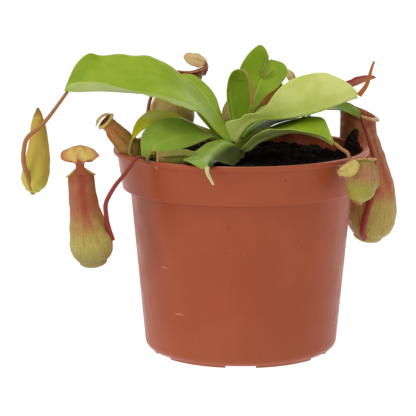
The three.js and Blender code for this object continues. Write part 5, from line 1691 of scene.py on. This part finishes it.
# %% A node tree that scatters strands
def build_strand_tree():
    """Short bent strands of four sides, each leaning away from the surface by a random share."""
    tree, given, result = new_tree("strand_scatter", [
        ("Strands per Square Metre", "NodeSocketFloat", 50000.0), ("Length", "NodeSocketFloat", 0.005),
        ("Thickness", "NodeSocketFloat", 0.0002), ("Least Lean", "NodeSocketFloat", 0.0),
        ("Most Lean", "NodeSocketFloat", 1.5), ("Seed", "NodeSocketInt", 1),
        ("Finish", "NodeSocketMaterial", None)])
    seed = given.outputs["Seed"]
    spots = add(tree, "GeometryNodeDistributePointsOnFaces", {
        "Mesh": given.outputs["Geometry"], "Density": given.outputs["Strands per Square Metre"],
        "Seed": seed})
    line = add(tree, "GeometryNodeCurveQuadraticBezier", {
        "Resolution": 5, "Start": (0.0, 0.0, -0.1), "Middle": (0.05, 0.0, 0.5), "End": (0.35, 0.1, 0.9)})
    ring = add(tree, "GeometryNodeCurvePrimitiveCircle", {"Resolution": 4, "Radius": 1.0})
    place = add(tree, "GeometryNodeSplineParameter")
    slim = sum_up(tree, "DIVIDE", given.outputs["Thickness"], given.outputs["Length"])
    width = sum_up(tree, "MULTIPLY", between(tree, place.outputs["Factor"], 0.5, 0.15), slim)
    strand = add(tree, "GeometryNodeCurveToMesh", {
        "Curve": line.outputs["Curve"], "Profile Curve": ring.outputs["Curve"], "Scale": width,
        "Fill Caps": True})
    tilt = draw(tree, given.outputs["Least Lean"], given.outputs["Most Lean"], seed)
    lean = add(tree, "ShaderNodeCombineXYZ", {0: tilt, 2: draw(tree, 0.0, FULL_TURN, seed)})
    turned = add(tree, "FunctionNodeRotateRotation", {
        "Rotation": spots.outputs["Rotation"], "Rotate By": lean.outputs[0]}, rotation_space="LOCAL")
    size = sum_up(tree, "MULTIPLY", draw(tree, 0.45, 1.1, seed), given.outputs["Length"])
    laid = add(tree, "GeometryNodeInstanceOnPoints", {
        "Points": spots.outputs["Points"], "Instance": strand.outputs["Mesh"],
        "Rotation": turned.outputs[0], "Scale": size})
    real = add(tree, "GeometryNodeRealizeInstances", {"Geometry": laid.outputs["Instances"]})
    hand_out(tree, real.outputs["Geometry"], given, result)
    return tree


STRAND_TREE = build_strand_tree()
print("strand tree:", len(STRAND_TREE.nodes), "nodes")

# %% Crumbs and fibres on the peat
PATCH_STEPS = 40
FIBRE_THICKNESS = 0.4


def peat_patch(name, centre_x, centre_y, reach, lift=0.0):
    """A round patch of the peat's top surface, for things to be scattered on."""
    turns = np.linspace(0, 2 * math.pi, 2 * PATCH_STEPS, endpoint=False)
    rings = []
    for share in np.linspace(0.02, 1, PATCH_STEPS):
        x = centre_x + reach * share * np.cos(turns)
        y = centre_y + reach * share * np.sin(turns)
        pull = np.minimum(1, (SOIL_RIM - 1.5) / np.maximum(np.hypot(x, y), 1e-6))
        x, y = x * pull, y * pull
        rings.append(np.stack([x, y, rough_height(x, y) + lift * (1 - share ** 2)], axis=1))
    faces = grid_faces(PATCH_STEPS, 2 * PATCH_STEPS, closed=True)
    return new_piece(name, np.concatenate(rings), faces, [])


def crumbs(piece, per_m2, seed, finish, size_mm):
    return bake(piece, CRUMB_TREE, {
        "Crumbs per Square Metre": per_m2, "Size": size_mm * MM, "Seed": seed, "Finish": finish})


def strands(piece, per_m2, seed, finish, length_mm, thickness_mm, lean):
    return bake(piece, STRAND_TREE, {
        "Strands per Square Metre": per_m2, "Length": length_mm * MM, "Thickness": thickness_mm * MM,
        "Least Lean": lean[0], "Most Lean": lean[1], "Seed": seed, "Finish": finish})


WHOLE_TOP = (0.0, 0.0, SOIL_RIM - 2.0)  # a patch's centre, its reach and how far its middle is lifted
MOUND_TOP = (MOUND_X - 1.0, MOUND_Y, 7.5)
CLUMP_TOP = (MOUND_X + 0.5, MOUND_Y, 4.0, 4.5)
ONE_SPOT = (48.5, -24.0, 1.6)
SCATTERED = {  # what, on which patch, how many per square metre, seed, finish, and sizes in millimetres
    "peat_crumbs": (crumbs, WHOLE_TOP, 300000.0, 11, BARK, 1.5),
    "mound_crumbs": (crumbs, MOUND_TOP, 1400000.0, 12, BARK, 1.4),
    "clump_crumbs": (crumbs, CLUMP_TOP, 2400000.0, 15, BARK, 1.6),
    "peat_fibres": (strands, WHOLE_TOP, 45000.0, 13, FIBRE, 6.0, FIBRE_THICKNESS, (1.0, 1.5)),
    "mound_fibres": (strands, MOUND_TOP, 700000.0, 14, FIBRE, 4.0, FIBRE_THICKNESS, (0.2, 1.4)),
    "clump_fibres": (strands, CLUMP_TOP, 900000.0, 16, FIBRE, 4.0, FIBRE_THICKNESS, (0.2, 1.4)),
    "perlite_crumb": (crumbs, ONE_SPOT, 300000.0, 3, PERLITE, 1.6),
}
for scatter_name, (scatter, top, per_m2, seed, finish, *measures) in SCATTERED.items():
    finish_piece(scatter(peat_patch(scatter_name, *top), per_m2, seed, finish, *measures), "soil")

# %% [markdown]
# The lids wear short stiff hairs, and on four of them the hairs show from a step away. The
# same node tree plants them, on a copy of the lid, standing nearly upright.

# %% Down on the lids
HAIR = peat_finish("lid_hair", paint(206, 176, 112), paint(222, 200, 140), 0.5, paint(180, 120, 80))
HAIR_LEAN = (0.0, 0.7)
LID_HAIRS = {  # slot, hairs per square metre, seed, length and thickness in millimetres
    "lid_left_front": ("lid_red", 250000.0, 30, 0.8, 0.1),
    "lid_right_large": ("lid_red", 250000.0, 31, 0.8, 0.1),
    "lid_right_squat": ("lid_yellow", 1500000.0, 32, 1.6, 0.2),
    "lid_back_left": ("lid_red", 200000.0, 33, 0.8, 0.1),
}
for lid_name, (slot, per_m2, seed, length, thickness) in LID_HAIRS.items():
    twin = put_in_scene(lid_name + "_hairs", LID_PIECES[lid_name].data.copy())
    finish_piece(strands(twin, per_m2, seed, HAIR, length, thickness, HAIR_LEAN), slot)

# %% [markdown]
# ## Stem and floor
# The stem is a short woody post that the leaf bases clasp. The floor is a wide white table,
# lit from inside so that the plant throws no shadow on it.

# %% Stem and floor
STEM_X, STEM_Y = -2.5, -0.5
STEM_RADIUS, STEM_TOP, STEM_FOOT = 4.3, 101.5, 83.6
STEM_SIDES, STEM_RINGS = 48, 30
BARK_DEPTH, BARK_SIZE = 0.12, 3.0


def stem_piece():
    turns = np.linspace(0, 2 * math.pi, STEM_SIDES, endpoint=False)
    rings = []
    for z in np.linspace(STEM_FOOT, STEM_TOP - 0.6, STEM_RINGS):
        radius = STEM_RADIUS * (1 - 0.05 * (z - STEM_FOOT) / (STEM_TOP - STEM_FOOT))
        ring = np.stack([STEM_X + radius * np.cos(turns), STEM_Y + radius * np.sin(turns),
                         np.full(STEM_SIDES, z)], axis=1)
        ring[:, :2] += BARK_DEPTH * np.stack([uneven(ring, BARK_SIZE, seed) for seed in (1.0, 6.0)], axis=1)
        rings.append(ring)
    rings.append((rings[-1] - [STEM_X, STEM_Y, 0]) * [0.7, 0.7, 1.0] + [STEM_X, STEM_Y, 0.5])
    places = np.concatenate(rings + [[[STEM_X, STEM_Y, STEM_FOOT], [STEM_X, STEM_Y, STEM_TOP]]])
    return new_piece("stem_post", places, capped_faces(len(rings), STEM_SIDES),
                     [TENDRIL_FINISHES["green"]],
                     values={"along": np.clip((places[:, 2] - STEM_FOOT) / 18, 0, 1)})


finish_piece(stem_piece(), "stem", "stem")

FLOOR_REACH, FLOOR_FRONT = 6.0, -2.0
TABLE_GREY, TABLE_GLOW = 0.05, 1.02
TABLE_SHADE = (0.995, 0.995, 0.995, 1.0)
floor_mesh = bpy.data.meshes.new("floor")
floor_mesh.from_pydata([(-FLOOR_REACH, FLOOR_FRONT, 0.0), (FLOOR_REACH, FLOOR_FRONT, 0.0),
                        (FLOOR_REACH, 2 * FLOOR_REACH, 0.0), (-FLOOR_REACH, 2 * FLOOR_REACH, 0.0)],
                       [], [(0, 1, 2, 3)])
floor_material, floor_tree, floor_shader = new_material("white_table", roughness=0.9)
floor_shade = patches(floor_tree, object_place(floor_tree), size_mm=300.0, contrast=0.3)
join(floor_tree, mix(floor_tree, floor_shade, WHITE, TABLE_SHADE), floor_shader, "Emission Color")
floor_shader.inputs["Base Color"].default_value = (TABLE_GREY, TABLE_GREY, TABLE_GREY, 1.0)
floor_shader.inputs["Emission Strength"].default_value = TABLE_GLOW
floor_mesh.materials.append(floor_material)
floor = put_in_scene("floor", floor_mesh)
floor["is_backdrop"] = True
print("floor reaches", 2 * FLOOR_REACH, "m back")

# %% [markdown]
# ## Finish
# The box of the solids and the box of the dressed plant are both printed. The dressed
# plant must fill nearly the same box as the solids.

# %% Sizes and the finished frame
dressed_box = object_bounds()
sizes = {"solids": [list(map(float, corner)) for corner in CAD_BOX],
         "dressed": [list(map(float, corner)) for corner in dressed_box]}
print("solids", sizes["solids"])
print("dressed", sizes["dressed"])
